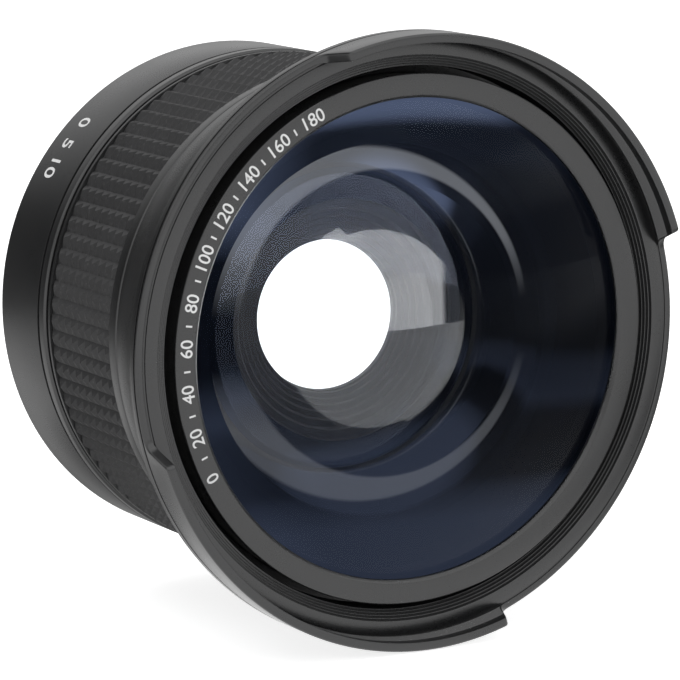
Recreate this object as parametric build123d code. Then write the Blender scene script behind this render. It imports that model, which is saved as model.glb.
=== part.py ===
from build123d import *
import os
from math import cos, radians, sin, sqrt, tan

# Wide fisheye converter lens: a front unit that unscrews from a rear close-up unit.
# Every piece is turned about local Z, from the rear (Z = 0 at the rear ring's back face) to the front.
# The finished pieces are then laid over, so that the lens looks along -Y with +Z up.

# Clearances and overruns
fit_gap = 0.05
thread_gap = 0.06
stack_gap = 0.03
screw_gap = 0.03
overrun = 1.0

# Rear mount thread, 52 mm by 0.75 mm, from which the other diameters step out and in
mount_thread_r = 25.95
mount_wall = 5.55
mount_tooth = 0.45
mount_runout = 0.5
mount_turns = 4
thread_pitch = 0.75
crest_land_share = 0.24
root_land_share = 0.2

# Thread between the two units
coupling_step = 1.65
coupling_tooth = 0.5
coupling_depth = 5.0
coupling_mouth_chamfer = 0.4
spigot_wall = 2.8
spigot_floor_gap = 0.9
spigot_turns = 5
coupling_r = mount_thread_r + coupling_step
spigot_bore_r = coupling_r - spigot_wall

# Rear ring of the close-up unit
rear_ring_wall = 3.65
rear_ring_length = 12.4
rear_ring_rear_chamfer = 0.4
rear_ring_front_chamfer = 0.25
rear_groove_z = 10.45
rear_groove_width = 0.5
rear_groove_depth = 0.55
rear_ring_r = coupling_r + rear_ring_wall

# Close-up element and its fixings
macro_seat_width = 1.0
macro_front_radius = 58.0
macro_rear_radius = 107.0
macro_edge = 1.55
macro_lip_z = 2.7
macro_gasket_thickness = 0.4
macro_ring_step = 1.45
macro_ring_overlap = 0.9
macro_ring_thickness = 1.6
macro_lip_r = mount_thread_r - mount_wall
macro_r = macro_lip_r + macro_seat_width
macro_ring_r = macro_r + macro_ring_step
macro_ring_bore_r = macro_r - macro_ring_overlap

# Main barrel, whose outside carries the grip
seam_gap = 0.5
collar_step = 0.3
barrel_rear_wall = 1.5
barrel_wall = 2.8
barrel_front_wall = 1.4
barrel_rear_lip = 0.5
barrel_rear_lip_height = 0.9
front_flange_height = 1.6
front_flange_length = 1.85
front_flange_chamfer = 0.2
barrel_rear_bore_depth = 4.6
cell_ledge_depth = 11.6
barrel_rear_bore_r = coupling_r + collar_step
barrel_r = barrel_rear_bore_r + barrel_rear_wall
barrel_bore_r = barrel_r - barrel_wall
barrel_front_bore_r = barrel_r - barrel_front_wall
barrel_rear_lip_r = barrel_r + barrel_rear_lip_height
front_flange_r = barrel_r + front_flange_height

# Rubber grip
grip_length = 15.95
grip_end_gap = 0.05
grip_base = 0.8
grip_ridge = 0.95
grip_rows = 96
grip_crest_share = 0.18
grip_valley_r = barrel_r + grip_base
grip_crest_r = grip_valley_r + grip_ridge

# Hood: shoulder ring, flare and bores
hood_spigot_length = 4.0
hood_spigot_wall = 2.0
hood_bore_widening = 1.2
hood_bore_step = 1.2
hood_length = 15.7
seam_groove_depth = 0.6
seam_groove_width = 0.6
shoulder_height = 0.35
shoulder_length = 0.7
shoulder_chamfer = 0.3
flare_end_drop = 1.6
flare_hollow = 0.7
edge_groove_drop = 0.7
edge_groove_width = 0.3
edge_groove_depth = 0.25
front_floor_depth = 4.6
glass_ledge_depth = 7.4
seam_groove_r = front_flange_r - seam_groove_depth
shoulder_r = front_flange_r + shoulder_height
hood_spigot_bore_r = barrel_front_bore_r - hood_spigot_wall
hood_bore_r = hood_spigot_bore_r + hood_bore_widening

# Front element: a thick dome with a deep bowl behind
front_shoulder_gap = 0.2
front_shoulder_width = 2.4
front_radius = 85.0
front_edge = 5.6
bowl_rim_drop = 6.35
seat_gasket_thickness = 0.5
front_gasket_width = 0.6
front_gasket_thickness = 0.3
front_shoulder_r = hood_bore_r - front_shoulder_gap
front_r = front_shoulder_r + front_shoulder_width

# Name ring, which holds the front element down
name_skirt_wall = 1.65
name_flange_step = 0.35
name_flange = 0.75
name_ring_overlap = 0.9
name_ring_proud = 0.3
name_ring_lip = 0.9
name_ring_chamfer = 0.4
name_ring_edge_chamfer = 0.12
name_ring_thread_gap = 0.3
name_bore_r = front_r + name_skirt_wall
name_ring_r = name_bore_r + name_flange_step
name_ring_lip_r = front_r - name_ring_overlap

# Hood's mouth: a bevel of fine grooves from the face in to the channel round the name ring
channel_width = 0.73
mouth_grooves = 5
mouth_groove_step = 0.33
mouth_groove_fall = 0.25
mouth_groove_depth = 0.12
mouth_edge_chamfer = 0.08
channel_r = name_ring_r + channel_width
mouth_r = channel_r + mouth_groove_step * (mouth_grooves - 1)

# Petals, whose ridges stand inwards over a groove that runs on round the face
face_width = 1.65
face_groove_width = 0.3
face_groove_depth = 0.2
petal_wall = 1.1
petal_height = 4.2
petal_edge_chamfer = 0.3
petal_centre_angle = 62.6
petal_span_angle = 94.8
petal_slant_angle = 22.0
petal_foot_fillet = 1.7
petal_tip_fillet = 0.6
petal_ridges = 5
petal_ridge_pitch = 0.46
petal_ridge_depth = 0.2
petal_ridge_base = 0.55
petal_count = 2
face_groove_r = mouth_r + face_width
petal_inner_r = face_groove_r + face_groove_width - petal_ridge_depth
hood_r = petal_inner_r + petal_wall

# Lens cell, which carries the second and third elements
cell_play = 1.4
cell_wall = 2.75
cell_fit_length = 5.0
cell_flange_play = 0.5
cell_flange_length = 2.15
cell_shim_thickness = 0.3
cell_seat_drop = 9.2
cell_seat_thickness = 1.45
cell_rear_drop = 4.4
cell_rear_step = 0.9
cell_front_gap = 0.5
cell_r = barrel_bore_r - cell_play
cell_flange_r = barrel_front_bore_r - cell_flange_play
cell_rear_r = cell_r - cell_rear_step

# Second element and the spacer ahead of it
second_edge = 6.5
second_front_radius = 160.0
second_front_land = 2.1
second_rear_radius = 59.0
second_rear_land = 4.25
spacer_thickness = 1.65
second_r = cell_r - cell_wall - fit_gap
second_front_clear_r = second_r - second_front_land
second_rear_clear_r = second_r - second_rear_land

# Bowl behind the front element, whose rim stands on the spacer
bowl_rim_overhang = 0.2
bowl_land = 1.5
bowl_openness = 4.1
bowl_rim_r = second_r + bowl_rim_overhang
bowl_r = second_r - bowl_land
bowl_radius = bowl_r + bowl_openness

# Third element and its retaining ring
third_step = 4.9
third_front_radius = 128.0
third_rear_radius = 264.0
third_edge = 1.3
third_land = 2.7
third_ring_step = 0.7
third_ring_thickness = 1.5
third_ring_overlap = 2.3
third_r = second_r - third_step
third_clear_r = third_r - third_land
third_ring_r = third_r + third_ring_step
third_ring_bore_r = third_r - third_ring_overlap

# Light baffle between the second and third elements
baffle_wall = 1.0
baffle_steps = 6
baffle_groove_start_share = 0.2
baffle_groove_end_share = 0.75

# Slots for a spanner, and grub screws
slot_width = 2.0
slot_depth = 0.8
slot_reach = 1.4
screw_r = 1.0
screw_length = 1.9
screw_socket_r = 0.5
screw_socket_depth = 0.9
screw_count = 3
coupling_screw_z = 2.4
coupling_screw_angle = 30.0
hood_screw_drop = 2.2
hood_screw_angle = 90.0

# Places along the axis that follow from the sizes
coupling_floor_z = rear_ring_length - coupling_depth
barrel_rear_z = rear_ring_length + seam_gap
grip_rear_z = barrel_rear_z + barrel_rear_lip + grip_end_gap
flange_rear_z = grip_rear_z + grip_length + grip_end_gap
barrel_front_z = flange_rear_z + front_flange_length
cell_ledge_z = barrel_rear_z + cell_ledge_depth
cell_flange_z = cell_ledge_z + cell_shim_thickness + 2 * stack_gap
cell_seat_z = cell_flange_z - cell_seat_drop
cell_rear_z = cell_seat_z - cell_rear_drop
hood_spigot_z = barrel_front_z - hood_spigot_length
hood_face_z = barrel_front_z + hood_length
front_floor_z = hood_face_z - front_floor_depth
glass_ledge_z = hood_face_z - glass_ledge_depth
name_face_z = hood_face_z + name_ring_proud
petal_tip_z = hood_face_z + petal_height
glass_shoulder_z = glass_ledge_z + seat_gasket_thickness + 2 * stack_gap
front_edge_z = glass_shoulder_z + front_edge
bowl_rim_z = glass_shoulder_z - bowl_rim_drop
spacer_front_z = bowl_rim_z - stack_gap
second_front_z = spacer_front_z - spacer_thickness - stack_gap
second_rear_z = second_front_z - second_edge
third_front_z = cell_seat_z - cell_seat_thickness - stack_gap
third_rear_z = third_front_z - third_edge
macro_gasket_top_z = macro_lip_z + stack_gap + macro_gasket_thickness


def sag(radius, r):
    """Depth of a ball of this radius over a disc of radius r."""
    return radius - sqrt(radius**2 - r**2)


def ball_point(radius, edge_r, edge_z, r, side):
    """Point at r on the ball that passes through (edge_r, edge_z); side 1 bulges forward, -1 rearward."""
    return (r, edge_z + side * (sag(radius, edge_r) - sag(radius, r)))


def ball_arc(radius, edge_r, edge_z, side, from_r, to_r):
    """Arc of the ball's section between two distances from the axis."""
    start = ball_point(radius, edge_r, edge_z, from_r, side)
    middle = ball_point(radius, edge_r, edge_z, (from_r + to_r) / 2, side)
    end = ball_point(radius, edge_r, edge_z, to_r, side)
    return ThreePointArc(start, middle, end)


def spun(edges):
    """Solid turned about the axis from the edges of its closed section."""
    outline = Curve() + edges
    return revolve(make_face(Plane.XZ * outline), Axis.Z, 360)


def turned(points):
    """Solid turned about the axis from the corners of its section, each (r, z)."""
    return revolve(make_face(Plane.XZ * Polyline(points, close=True)), Axis.Z, 360)


def ring(inner_r, outer_r, low_z, high_z):
    """Plain ring."""
    return turned([(inner_r, low_z), (outer_r, low_z), (outer_r, high_z), (inner_r, high_z)])


def tooth_points(crest_r, root_r, start_z, turns, direction):
    """Corners of a row of thread ridges that runs along the axis from start_z in direction 1 or -1."""
    crest = thread_pitch * crest_land_share
    flank = thread_pitch * (1 - crest_land_share - root_land_share) / 2
    points = []
    for turn in range(turns):
        z = start_z + direction * thread_pitch * turn
        points.append((root_r, z))
        points.append((crest_r, z + direction * flank))
        points.append((crest_r, z + direction * (flank + crest)))
        points.append((root_r, z + direction * (2 * flank + crest)))
    return points


def spanner_slots(outer_r, face_z, depth, side):
    """Two slots across a ring's rim, cut into the face at face_z that looks to side 1 or -1."""
    length = 2 * (outer_r + overrun)
    centre_z = face_z - side * (depth - overrun) / 2
    bar = Pos(0, 0, centre_z) * Box(length, slot_width, depth + overrun)
    return bar - Cylinder(outer_r - slot_reach, 2 * (abs(face_z) + depth + overrun))


def around(shape, count, first_angle):
    """Copies of a shape spaced evenly about the axis."""
    return [Rot(0, 0, first_angle + 360 * i / count) * shape for i in range(count)]


def mount_tube_points():
    """Outside of the mount tube, from the rear ring's face to its rear end."""
    root_r = mount_thread_r - mount_tooth
    start_z = -mount_runout
    points = [(mount_thread_r, 0), (mount_thread_r, start_z)]
    points += tooth_points(mount_thread_r, root_r, start_z, mount_turns, -1)
    end_z = start_z - thread_pitch * mount_turns
    points.append((root_r, end_z))
    points.append((macro_lip_r, end_z))
    return points


def make_macro_barrel():
    """Rear ring with the mount thread behind and the coupling thread in front."""
    ring_seat_z = macro_ring_seat_z()
    points = mount_tube_points()
    points.append((macro_lip_r, macro_lip_z))
    points.append((macro_r + fit_gap, macro_lip_z))
    points.append((macro_r + fit_gap, ring_seat_z))
    points.append((macro_ring_r + fit_gap, ring_seat_z))
    points.append((macro_ring_r + fit_gap, coupling_floor_z))
    root_r = coupling_r + coupling_tooth
    points.append((root_r, coupling_floor_z))
    tooth_start_z = coupling_floor_z + thread_pitch
    points += tooth_points(coupling_r, root_r, tooth_start_z, spigot_turns, 1)
    points.append((root_r, rear_ring_length - coupling_mouth_chamfer))
    points.append((root_r + coupling_mouth_chamfer, rear_ring_length))
    points.append((rear_ring_r - rear_ring_front_chamfer, rear_ring_length))
    points.append((rear_ring_r, rear_ring_length - rear_ring_front_chamfer))
    points.append((rear_ring_r, rear_groove_z + rear_groove_width))
    points.append((rear_ring_r - rear_groove_depth, rear_groove_z + rear_groove_width))
    points.append((rear_ring_r - rear_groove_depth, rear_groove_z))
    points.append((rear_ring_r, rear_groove_z))
    points.append((rear_ring_r, rear_ring_rear_chamfer))
    points.append((rear_ring_r - rear_ring_rear_chamfer, 0))
    return turned(points)


def macro_rear_edge_z():
    """Rear edge of the close-up element, whose ball rests on its gasket."""
    contact_z = macro_gasket_top_z + stack_gap
    return contact_z + sag(macro_rear_radius, macro_r) - sag(macro_rear_radius, macro_lip_r)


def macro_front_edge_z():
    """Front edge of the close-up element."""
    return macro_rear_edge_z() + macro_edge


def macro_ring_seat_z():
    """Rear face of the retaining ring, which the front ball touches at the ring's bore."""
    front = ball_point(macro_front_radius, macro_r, macro_front_edge_z(), macro_ring_bore_r, 1)
    return front[1] + stack_gap


def make_macro_element():
    """Close-up element, bulging both ways."""
    rear_z = macro_rear_edge_z()
    front_z = macro_front_edge_z()
    rear = ball_arc(macro_rear_radius, macro_r, rear_z, -1, 0, macro_r)
    side = Line((macro_r, rear_z), (macro_r, front_z))
    front = ball_arc(macro_front_radius, macro_r, front_z, 1, macro_r, 0)
    axis = Line(front @ 1, rear @ 0)
    return spun([rear, side, front, axis])


def make_macro_gasket():
    """Thin ring between the lip and the close-up element."""
    low_z = macro_lip_z + stack_gap
    return ring(macro_lip_r, macro_r, low_z, low_z + macro_gasket_thickness)


def make_macro_retaining_ring():
    """Slotted ring that holds the close-up element."""
    low_z = macro_ring_seat_z() + stack_gap
    high_z = low_z + macro_ring_thickness
    body = ring(macro_ring_bore_r, macro_ring_r, low_z, high_z)
    return body - spanner_slots(macro_ring_r, high_z, slot_depth, 1)


def make_main_barrel():
    """Tube under the grip, with a front flange, three bores and the screw holes."""
    rear_bore_z = barrel_rear_z + barrel_rear_bore_depth
    points = [
        (barrel_rear_bore_r, barrel_rear_z),
        (barrel_rear_lip_r, barrel_rear_z),
        (barrel_rear_lip_r, barrel_rear_z + barrel_rear_lip),
        (barrel_r, barrel_rear_z + barrel_rear_lip),
        (barrel_r, flange_rear_z),
        (front_flange_r, flange_rear_z),
        (front_flange_r, barrel_front_z - front_flange_chamfer),
        (front_flange_r - front_flange_chamfer, barrel_front_z),
        (barrel_front_bore_r, barrel_front_z),
        (barrel_front_bore_r, cell_ledge_z),
        (barrel_bore_r, cell_ledge_z),
        (barrel_bore_r, rear_bore_z),
        (barrel_rear_bore_r, rear_bore_z),
    ]
    return turned(points) - coupling_screw_holes() - hood_screw_holes()


def screw_blank(r, z, inner_r, outer_r):
    """Radial cylinder between two distances from the axis, along +X."""
    middle = (inner_r + outer_r) / 2
    return Pos(middle, 0, z) * Rot(0, 90, 0) * Cylinder(r, outer_r - inner_r)


def coupling_screw_tip_r():
    """Inner end of the grub screws that hold the coupling ring."""
    return barrel_r - screw_socket_depth / 2 - screw_length


def coupling_screw_holes():
    """Holes of the screws that hold the coupling ring."""
    z = barrel_rear_z + coupling_screw_z
    hole = screw_blank(screw_r + screw_gap, z, coupling_screw_tip_r() - screw_gap, barrel_r + overrun)
    return around(hole, screw_count, coupling_screw_angle)


def hood_screw_holes():
    """Holes of the screws that hold the hood."""
    z = barrel_front_z - hood_screw_drop
    hole = screw_blank(screw_r + screw_gap, z, coupling_screw_tip_r() - screw_gap, barrel_r + overrun)
    return around(hole, screw_count, hood_screw_angle)


def grub_screws(z, first_angle):
    """Set of grub screws with a round socket, each lying along a radius."""
    tip_r = coupling_screw_tip_r()
    head_r = tip_r + screw_length
    body = screw_blank(screw_r, z, tip_r, head_r)
    body -= screw_blank(screw_socket_r, z, head_r - screw_socket_depth, head_r + overrun)
    return Compound(children=around(body, screw_count, first_angle))


def make_coupling_screws():
    """Grub screws through the barrel into the coupling ring."""
    return grub_screws(barrel_rear_z + coupling_screw_z, coupling_screw_angle)


def make_hood_screws():
    """Grub screws through the barrel into the hood's spigot."""
    return grub_screws(barrel_front_z - hood_screw_drop, hood_screw_angle)


def make_coupling_ring():
    """Threaded spigot that screws into the rear ring, with the collar that the barrel clamps."""
    crest_r = coupling_r - thread_gap
    root_r = crest_r - coupling_tooth
    spigot_end_z = coupling_floor_z + spigot_floor_gap
    collar_r = barrel_rear_bore_r - fit_gap
    collar_front_z = barrel_rear_z + barrel_rear_bore_depth - stack_gap
    points = [(spigot_bore_r, spigot_end_z)]
    points += tooth_points(crest_r, root_r, spigot_end_z, spigot_turns, 1)
    points.append((root_r, rear_ring_length))
    points.append((root_r, barrel_rear_z - stack_gap))
    points.append((collar_r, barrel_rear_z - stack_gap))
    points.append((collar_r, collar_front_z))
    points.append((spigot_bore_r, collar_front_z))
    return turned(points) - coupling_screw_holes()


def make_rubber_grip():
    """Rubber sleeve with a crest for each row of its pattern."""
    pitch_angle = 360 / grip_rows
    crest_half = pitch_angle * grip_crest_share / 2
    outline = []
    for row in range(grip_rows):
        angle = pitch_angle * row
        outline.append(polar(grip_valley_r, angle - pitch_angle / 2))
        outline.append(polar(grip_crest_r, angle - crest_half))
        outline.append(polar(grip_crest_r, angle + crest_half))
    sleeve = extrude(make_face(Polyline(outline, close=True)), grip_length)
    bore = Cylinder(barrel_r + fit_gap, grip_length * 2)
    return Pos(0, 0, grip_rear_z) * (sleeve - bore)


def polar(r, angle):
    """Point at r and an angle in degrees."""
    return (r * cos(radians(angle)), r * sin(radians(angle)))


def mouth_points():
    """Grooved bevel of the hood's mouth, each ridge smaller and deeper than the one before."""
    points = []
    for ridge in range(mouth_grooves):
        r = mouth_r - mouth_groove_step * ridge
        z = hood_face_z - mouth_groove_fall * ridge
        if ridge:
            points.append((r + mouth_groove_step, z - mouth_groove_depth))
        points.append((r + mouth_edge_chamfer, z))
        points.append((r, z - mouth_edge_chamfer))
    return points


def hood_inside_points():
    """Inside of the hood, from the channel round the name ring down to the spigot's rear end."""
    return [
        (channel_r, front_floor_z),
        (name_bore_r, front_floor_z),
        (name_bore_r, glass_ledge_z),
        (hood_bore_r, glass_ledge_z),
        (hood_bore_r, barrel_front_z + hood_bore_step),
        (hood_spigot_bore_r, barrel_front_z),
        (hood_spigot_bore_r, hood_spigot_z),
    ]


def petal_inside_points():
    """Inner wall of the petals below the tip, down past its ridges into the groove of the face."""
    valley_r = petal_inner_r + petal_ridge_depth
    base_z = hood_face_z + petal_ridge_base
    top_z = base_z + petal_ridge_pitch * petal_ridges
    points = [(petal_inner_r, top_z)]
    for ridge in range(petal_ridges):
        z = top_z - petal_ridge_pitch * ridge
        points.append((valley_r, z - petal_ridge_pitch / 2))
        points.append((petal_inner_r, z - petal_ridge_pitch))
    points.append((valley_r, base_z - petal_ridge_depth))
    points.append((valley_r, hood_face_z - face_groove_depth))
    points.append((face_groove_r, hood_face_z - face_groove_depth))
    points.append((face_groove_r, hood_face_z))
    return points


def flare_arc():
    """Hollow flare between the shoulder ring and the hood's rim."""
    start = (shoulder_r, barrel_front_z + seam_groove_width + shoulder_length)
    end = (hood_r, hood_face_z - flare_end_drop)
    middle = ((start[0] + end[0]) / 2 - flare_hollow, (start[1] + end[1]) / 2)
    return ThreePointArc(start, middle, end)


def petal_cutter(side):
    """Block that clears one half of a cut-out and leaves a slanted, rounded petal end."""
    slant = petal_height * tan(radians(petal_slant_angle))
    reach = hood_r
    top_z = petal_tip_z + overrun
    corners = [
        (0, hood_face_z),
        (-slant, petal_tip_z),
        (-slant - petal_foot_fillet, petal_tip_z),
        (-slant - petal_foot_fillet, top_z),
        (reach, top_z),
        (reach, hood_face_z),
    ]
    face = make_face(Polyline(corners, close=True))
    foot = face.vertices().sort_by(Axis.Y)[:2].sort_by(Axis.X)[0]
    face = fillet(foot, petal_foot_fillet)
    tips = [v for v in face.vertices() if abs(v.Y - petal_tip_z) < stack_gap]
    tip = ShapeList(tips).sort_by(Axis.X)[-1]
    face = fillet(tip, petal_tip_fillet)
    placed = Plane(origin=(petal_inner_r / 2, 0, 0), x_dir=(0, side, 0), z_dir=(side, 0, 0))
    block = extrude(placed * face, side * (hood_r + overrun - petal_inner_r / 2))
    return block


def make_front_hood():
    """Hood: spigot, shoulder ring, flare, grooved mouth and two petals."""
    spigot_r = barrel_front_bore_r - fit_gap
    groove_z = hood_face_z - edge_groove_drop
    flare = flare_arc()
    shoulder_z = barrel_front_z + seam_groove_width
    tip_inner = (petal_inner_r, petal_tip_z)
    outside = [
        (hood_r, hood_face_z - flare_end_drop),
        (hood_r, groove_z),
        (hood_r - edge_groove_depth, groove_z),
        (hood_r - edge_groove_depth, groove_z + edge_groove_width),
        (hood_r, groove_z + edge_groove_width),
        (hood_r, petal_tip_z - petal_edge_chamfer),
        (hood_r - petal_edge_chamfer, petal_tip_z),
        tip_inner,
    ]
    inside = petal_inside_points() + mouth_points() + hood_inside_points()
    rear = [
        inside[-1],
        (spigot_r, hood_spigot_z),
        (spigot_r, barrel_front_z + stack_gap),
        (seam_groove_r, barrel_front_z + stack_gap),
        (seam_groove_r, shoulder_z),
        (shoulder_r - shoulder_chamfer, shoulder_z),
        (shoulder_r, shoulder_z + shoulder_chamfer),
        flare @ 0,
    ]
    path = [Polyline(outside), Polyline(tip_inner, *inside), Polyline(rear)]
    hood = spun([flare] + path)
    half_span = petal_span_angle / 2
    for petal in range(petal_count):
        centre = petal_centre_angle + 360 * petal / petal_count
        hood -= Rot(0, 0, centre + half_span) * petal_cutter(1)
        hood -= Rot(0, 0, centre - half_span) * petal_cutter(-1)
    return hood - hood_screw_holes()


def make_name_ring():
    """Flat-faced ring that screws in over the front element's rim."""
    skirt_r = front_r + fit_gap
    lip_z = name_face_z - name_ring_lip
    flange_z = name_face_z - name_flange
    thread_r = name_bore_r - fit_gap
    points = [
        (name_ring_lip_r + name_ring_chamfer, name_face_z),
        (name_ring_r - name_ring_edge_chamfer, name_face_z),
        (name_ring_r, name_face_z - name_ring_edge_chamfer),
        (name_ring_r, flange_z),
        (thread_r, flange_z),
        (thread_r, glass_ledge_z + name_ring_thread_gap),
        (skirt_r, glass_ledge_z + name_ring_thread_gap),
        (skirt_r, lip_z),
        (name_ring_lip_r, lip_z),
        (name_ring_lip_r, name_face_z - name_ring_chamfer),
    ]
    return turned(points)


def make_front_element():
    """Thick front element with a domed face and a deep bowl behind."""
    face = ball_arc(front_radius, front_r, front_edge_z, 1, 0, front_r)
    outline = [
        (front_r, front_edge_z),
        (front_r, glass_shoulder_z),
        (front_shoulder_r, glass_shoulder_z),
        (bowl_rim_r, bowl_rim_z),
        (bowl_r, bowl_rim_z),
    ]
    bowl = ball_arc(bowl_radius, bowl_r, bowl_rim_z, 1, bowl_r, 0)
    axis = Line(bowl @ 1, face @ 0)
    return spun([face, Polyline(outline), bowl, axis])


def make_seat_gasket():
    """Flat gasket between the hood's ledge and the front element's shoulder."""
    low_z = glass_ledge_z + stack_gap
    return ring(hood_bore_r, front_r - fit_gap, low_z, low_z + seat_gasket_thickness)


def make_front_gasket():
    """Flat gasket between the front element's rim and the name ring's lip."""
    high_z = name_face_z - name_ring_lip - stack_gap
    inner_r = front_r - front_gasket_width
    return ring(inner_r, front_r, high_z - front_gasket_thickness, high_z)


def make_front_spacer():
    """Ring between the bowl's rim and the second element."""
    inner_r = bowl_r + fit_gap
    return ring(inner_r, second_r, spacer_front_z - spacer_thickness, spacer_front_z)


def make_second_element():
    """Thick element, hollow on both faces."""
    front = ball_arc(second_front_radius, second_front_clear_r, second_front_z, -1, 0, second_front_clear_r)
    rear = ball_arc(second_rear_radius, second_rear_clear_r, second_rear_z, 1, second_rear_clear_r, 0)
    outline = [
        front @ 1,
        (second_r, second_front_z),
        (second_r, second_rear_z),
        (second_rear_clear_r, second_rear_z),
    ]
    axis = Line(rear @ 1, front @ 0)
    return spun([front, Polyline(outline), rear, axis])


def make_light_baffle():
    """Stepped black sleeve between the second and third elements."""
    top_z = second_rear_z - stack_gap
    low_z = cell_seat_z + stack_gap
    wide_r = second_rear_clear_r + fit_gap
    narrow_r = third_clear_r
    step = (top_z - low_z) / baffle_steps
    fall = (wide_r - narrow_r) / baffle_steps
    points = [(second_r, low_z), (second_r, top_z), (wide_r, top_z)]
    for i in range(baffle_steps):
        z = top_z - step * i
        r = wide_r - fall * i
        groove_r = min(r + baffle_wall, second_r - baffle_wall)
        points.append((r, z - step * baffle_groove_start_share))
        points.append((groove_r, z - step * baffle_groove_start_share))
        points.append((groove_r, z - step * baffle_groove_end_share))
        points.append((r - fall, z - step * baffle_groove_end_share))
    points.append((narrow_r, low_z))
    return turned(points)


def make_third_element():
    """Thin element, bulging both ways."""
    front = ball_arc(third_front_radius, third_r, third_front_z, 1, 0, third_r)
    side = Line((third_r, third_front_z), (third_r, third_rear_z))
    rear = ball_arc(third_rear_radius, third_r, third_rear_z, -1, third_r, 0)
    axis = Line(rear @ 1, front @ 0)
    return spun([front, side, rear, axis])


def third_ring_seat_z():
    """Front face of the third element's retaining ring, which the rear ball touches at its bore."""
    rear = ball_point(third_rear_radius, third_r, third_rear_z, third_ring_bore_r, -1)
    return rear[1] - stack_gap


def make_third_retaining_ring():
    """Slotted ring behind the third element."""
    front_z = third_ring_seat_z() - stack_gap
    rear_z = front_z - third_ring_thickness
    body = ring(third_ring_bore_r, third_ring_r, rear_z, front_z)
    return body - spanner_slots(third_ring_r, rear_z, slot_depth, -1)


def make_lens_cell():
    """Inner tube that carries the second and third elements."""
    bore_r = second_r + fit_gap
    fit_rear_z = cell_flange_z - cell_fit_length
    seat_low_z = cell_seat_z - cell_seat_thickness
    # The third element stands off its seat where its front face bulges past the edge.
    seat_r = third_r - fit_gap
    points = [
        (bore_r, cell_seat_z),
        (bore_r, bowl_rim_z - cell_front_gap),
        (cell_r, bowl_rim_z - cell_front_gap),
        (cell_r, cell_flange_z + cell_flange_length),
        (cell_flange_r, cell_flange_z + cell_flange_length),
        (cell_flange_r, cell_flange_z),
        (barrel_bore_r - fit_gap, cell_flange_z),
        (barrel_bore_r - fit_gap, fit_rear_z),
        (cell_rear_r, fit_rear_z),
        (cell_rear_r, cell_rear_z),
        (third_ring_r + fit_gap, cell_rear_z),
        (third_ring_r + fit_gap, third_ring_seat_z()),
        (third_r + fit_gap, third_ring_seat_z()),
        (third_r + fit_gap, seat_low_z),
        (seat_r, seat_low_z),
        (third_clear_r, seat_low_z + sag(third_front_radius, third_r)),
        (third_clear_r, cell_seat_z),
    ]
    return turned(points)


def make_cell_shim():
    """Thin brass ring that sets the cell's place along the axis."""
    low_z = cell_ledge_z + stack_gap
    return ring(barrel_bore_r, cell_flange_r, low_z, low_z + cell_shim_thickness)


PIECES = {
    "macro_barrel": make_macro_barrel,
    "macro_element": make_macro_element,
    "macro_gasket": make_macro_gasket,
    "macro_retaining_ring": make_macro_retaining_ring,
    "main_barrel": make_main_barrel,
    "coupling_ring": make_coupling_ring,
    "coupling_screws": make_coupling_screws,
    "rubber_grip": make_rubber_grip,
    "front_hood": make_front_hood,
    "hood_screws": make_hood_screws,
    "name_ring": make_name_ring,
    "front_gasket": make_front_gasket,
    "front_element": make_front_element,
    "seat_gasket": make_seat_gasket,
    "front_spacer": make_front_spacer,
    "second_element": make_second_element,
    "light_baffle": make_light_baffle,
    "third_element": make_third_element,
    "third_retaining_ring": make_third_retaining_ring,
    "lens_cell": make_lens_cell,
    "cell_shim": make_cell_shim,
}

os.makedirs("parts", exist_ok=True)
for name, make in PIECES.items():
    export_step(Rot(90, 0, 0) * make(), f"parts/{name}.step")
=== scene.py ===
from functools import cache
from math import atan2, cos, hypot, pi, radians, sin, sqrt, tan

import bpy
from bpy.props import FloatProperty, FloatVectorProperty, IntProperty, PointerProperty
from mathutils import Matrix, Vector


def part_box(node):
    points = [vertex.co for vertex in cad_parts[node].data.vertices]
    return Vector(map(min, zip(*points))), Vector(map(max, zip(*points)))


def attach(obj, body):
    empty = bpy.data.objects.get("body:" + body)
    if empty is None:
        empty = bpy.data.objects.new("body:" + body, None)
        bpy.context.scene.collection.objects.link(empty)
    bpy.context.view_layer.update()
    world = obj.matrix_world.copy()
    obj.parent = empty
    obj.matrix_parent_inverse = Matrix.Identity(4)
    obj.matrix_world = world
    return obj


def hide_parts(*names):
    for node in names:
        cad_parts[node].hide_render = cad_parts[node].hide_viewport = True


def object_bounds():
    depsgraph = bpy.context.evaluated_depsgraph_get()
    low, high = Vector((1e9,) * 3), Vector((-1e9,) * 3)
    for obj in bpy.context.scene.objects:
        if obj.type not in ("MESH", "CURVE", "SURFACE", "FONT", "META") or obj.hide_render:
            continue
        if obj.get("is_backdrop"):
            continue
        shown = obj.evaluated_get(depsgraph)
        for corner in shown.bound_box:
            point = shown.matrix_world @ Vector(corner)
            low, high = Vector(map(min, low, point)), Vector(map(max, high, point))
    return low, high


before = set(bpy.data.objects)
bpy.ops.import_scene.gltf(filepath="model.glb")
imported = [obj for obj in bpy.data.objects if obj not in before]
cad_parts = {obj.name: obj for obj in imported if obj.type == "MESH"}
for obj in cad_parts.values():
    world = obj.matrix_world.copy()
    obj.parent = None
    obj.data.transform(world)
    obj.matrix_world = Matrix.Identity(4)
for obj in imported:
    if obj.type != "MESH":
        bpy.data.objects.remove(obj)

bl_info = {
    "name": "Fisheye Converter Lens",
    "version": (1, 0, 0),
    "blender": (4, 5, 0),
    "location": "3D View > Sidebar > Lens",
    "description": "Models the visible pieces of a wide converter lens round its fixed frame",
    "category": "Add Mesh",
}

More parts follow.
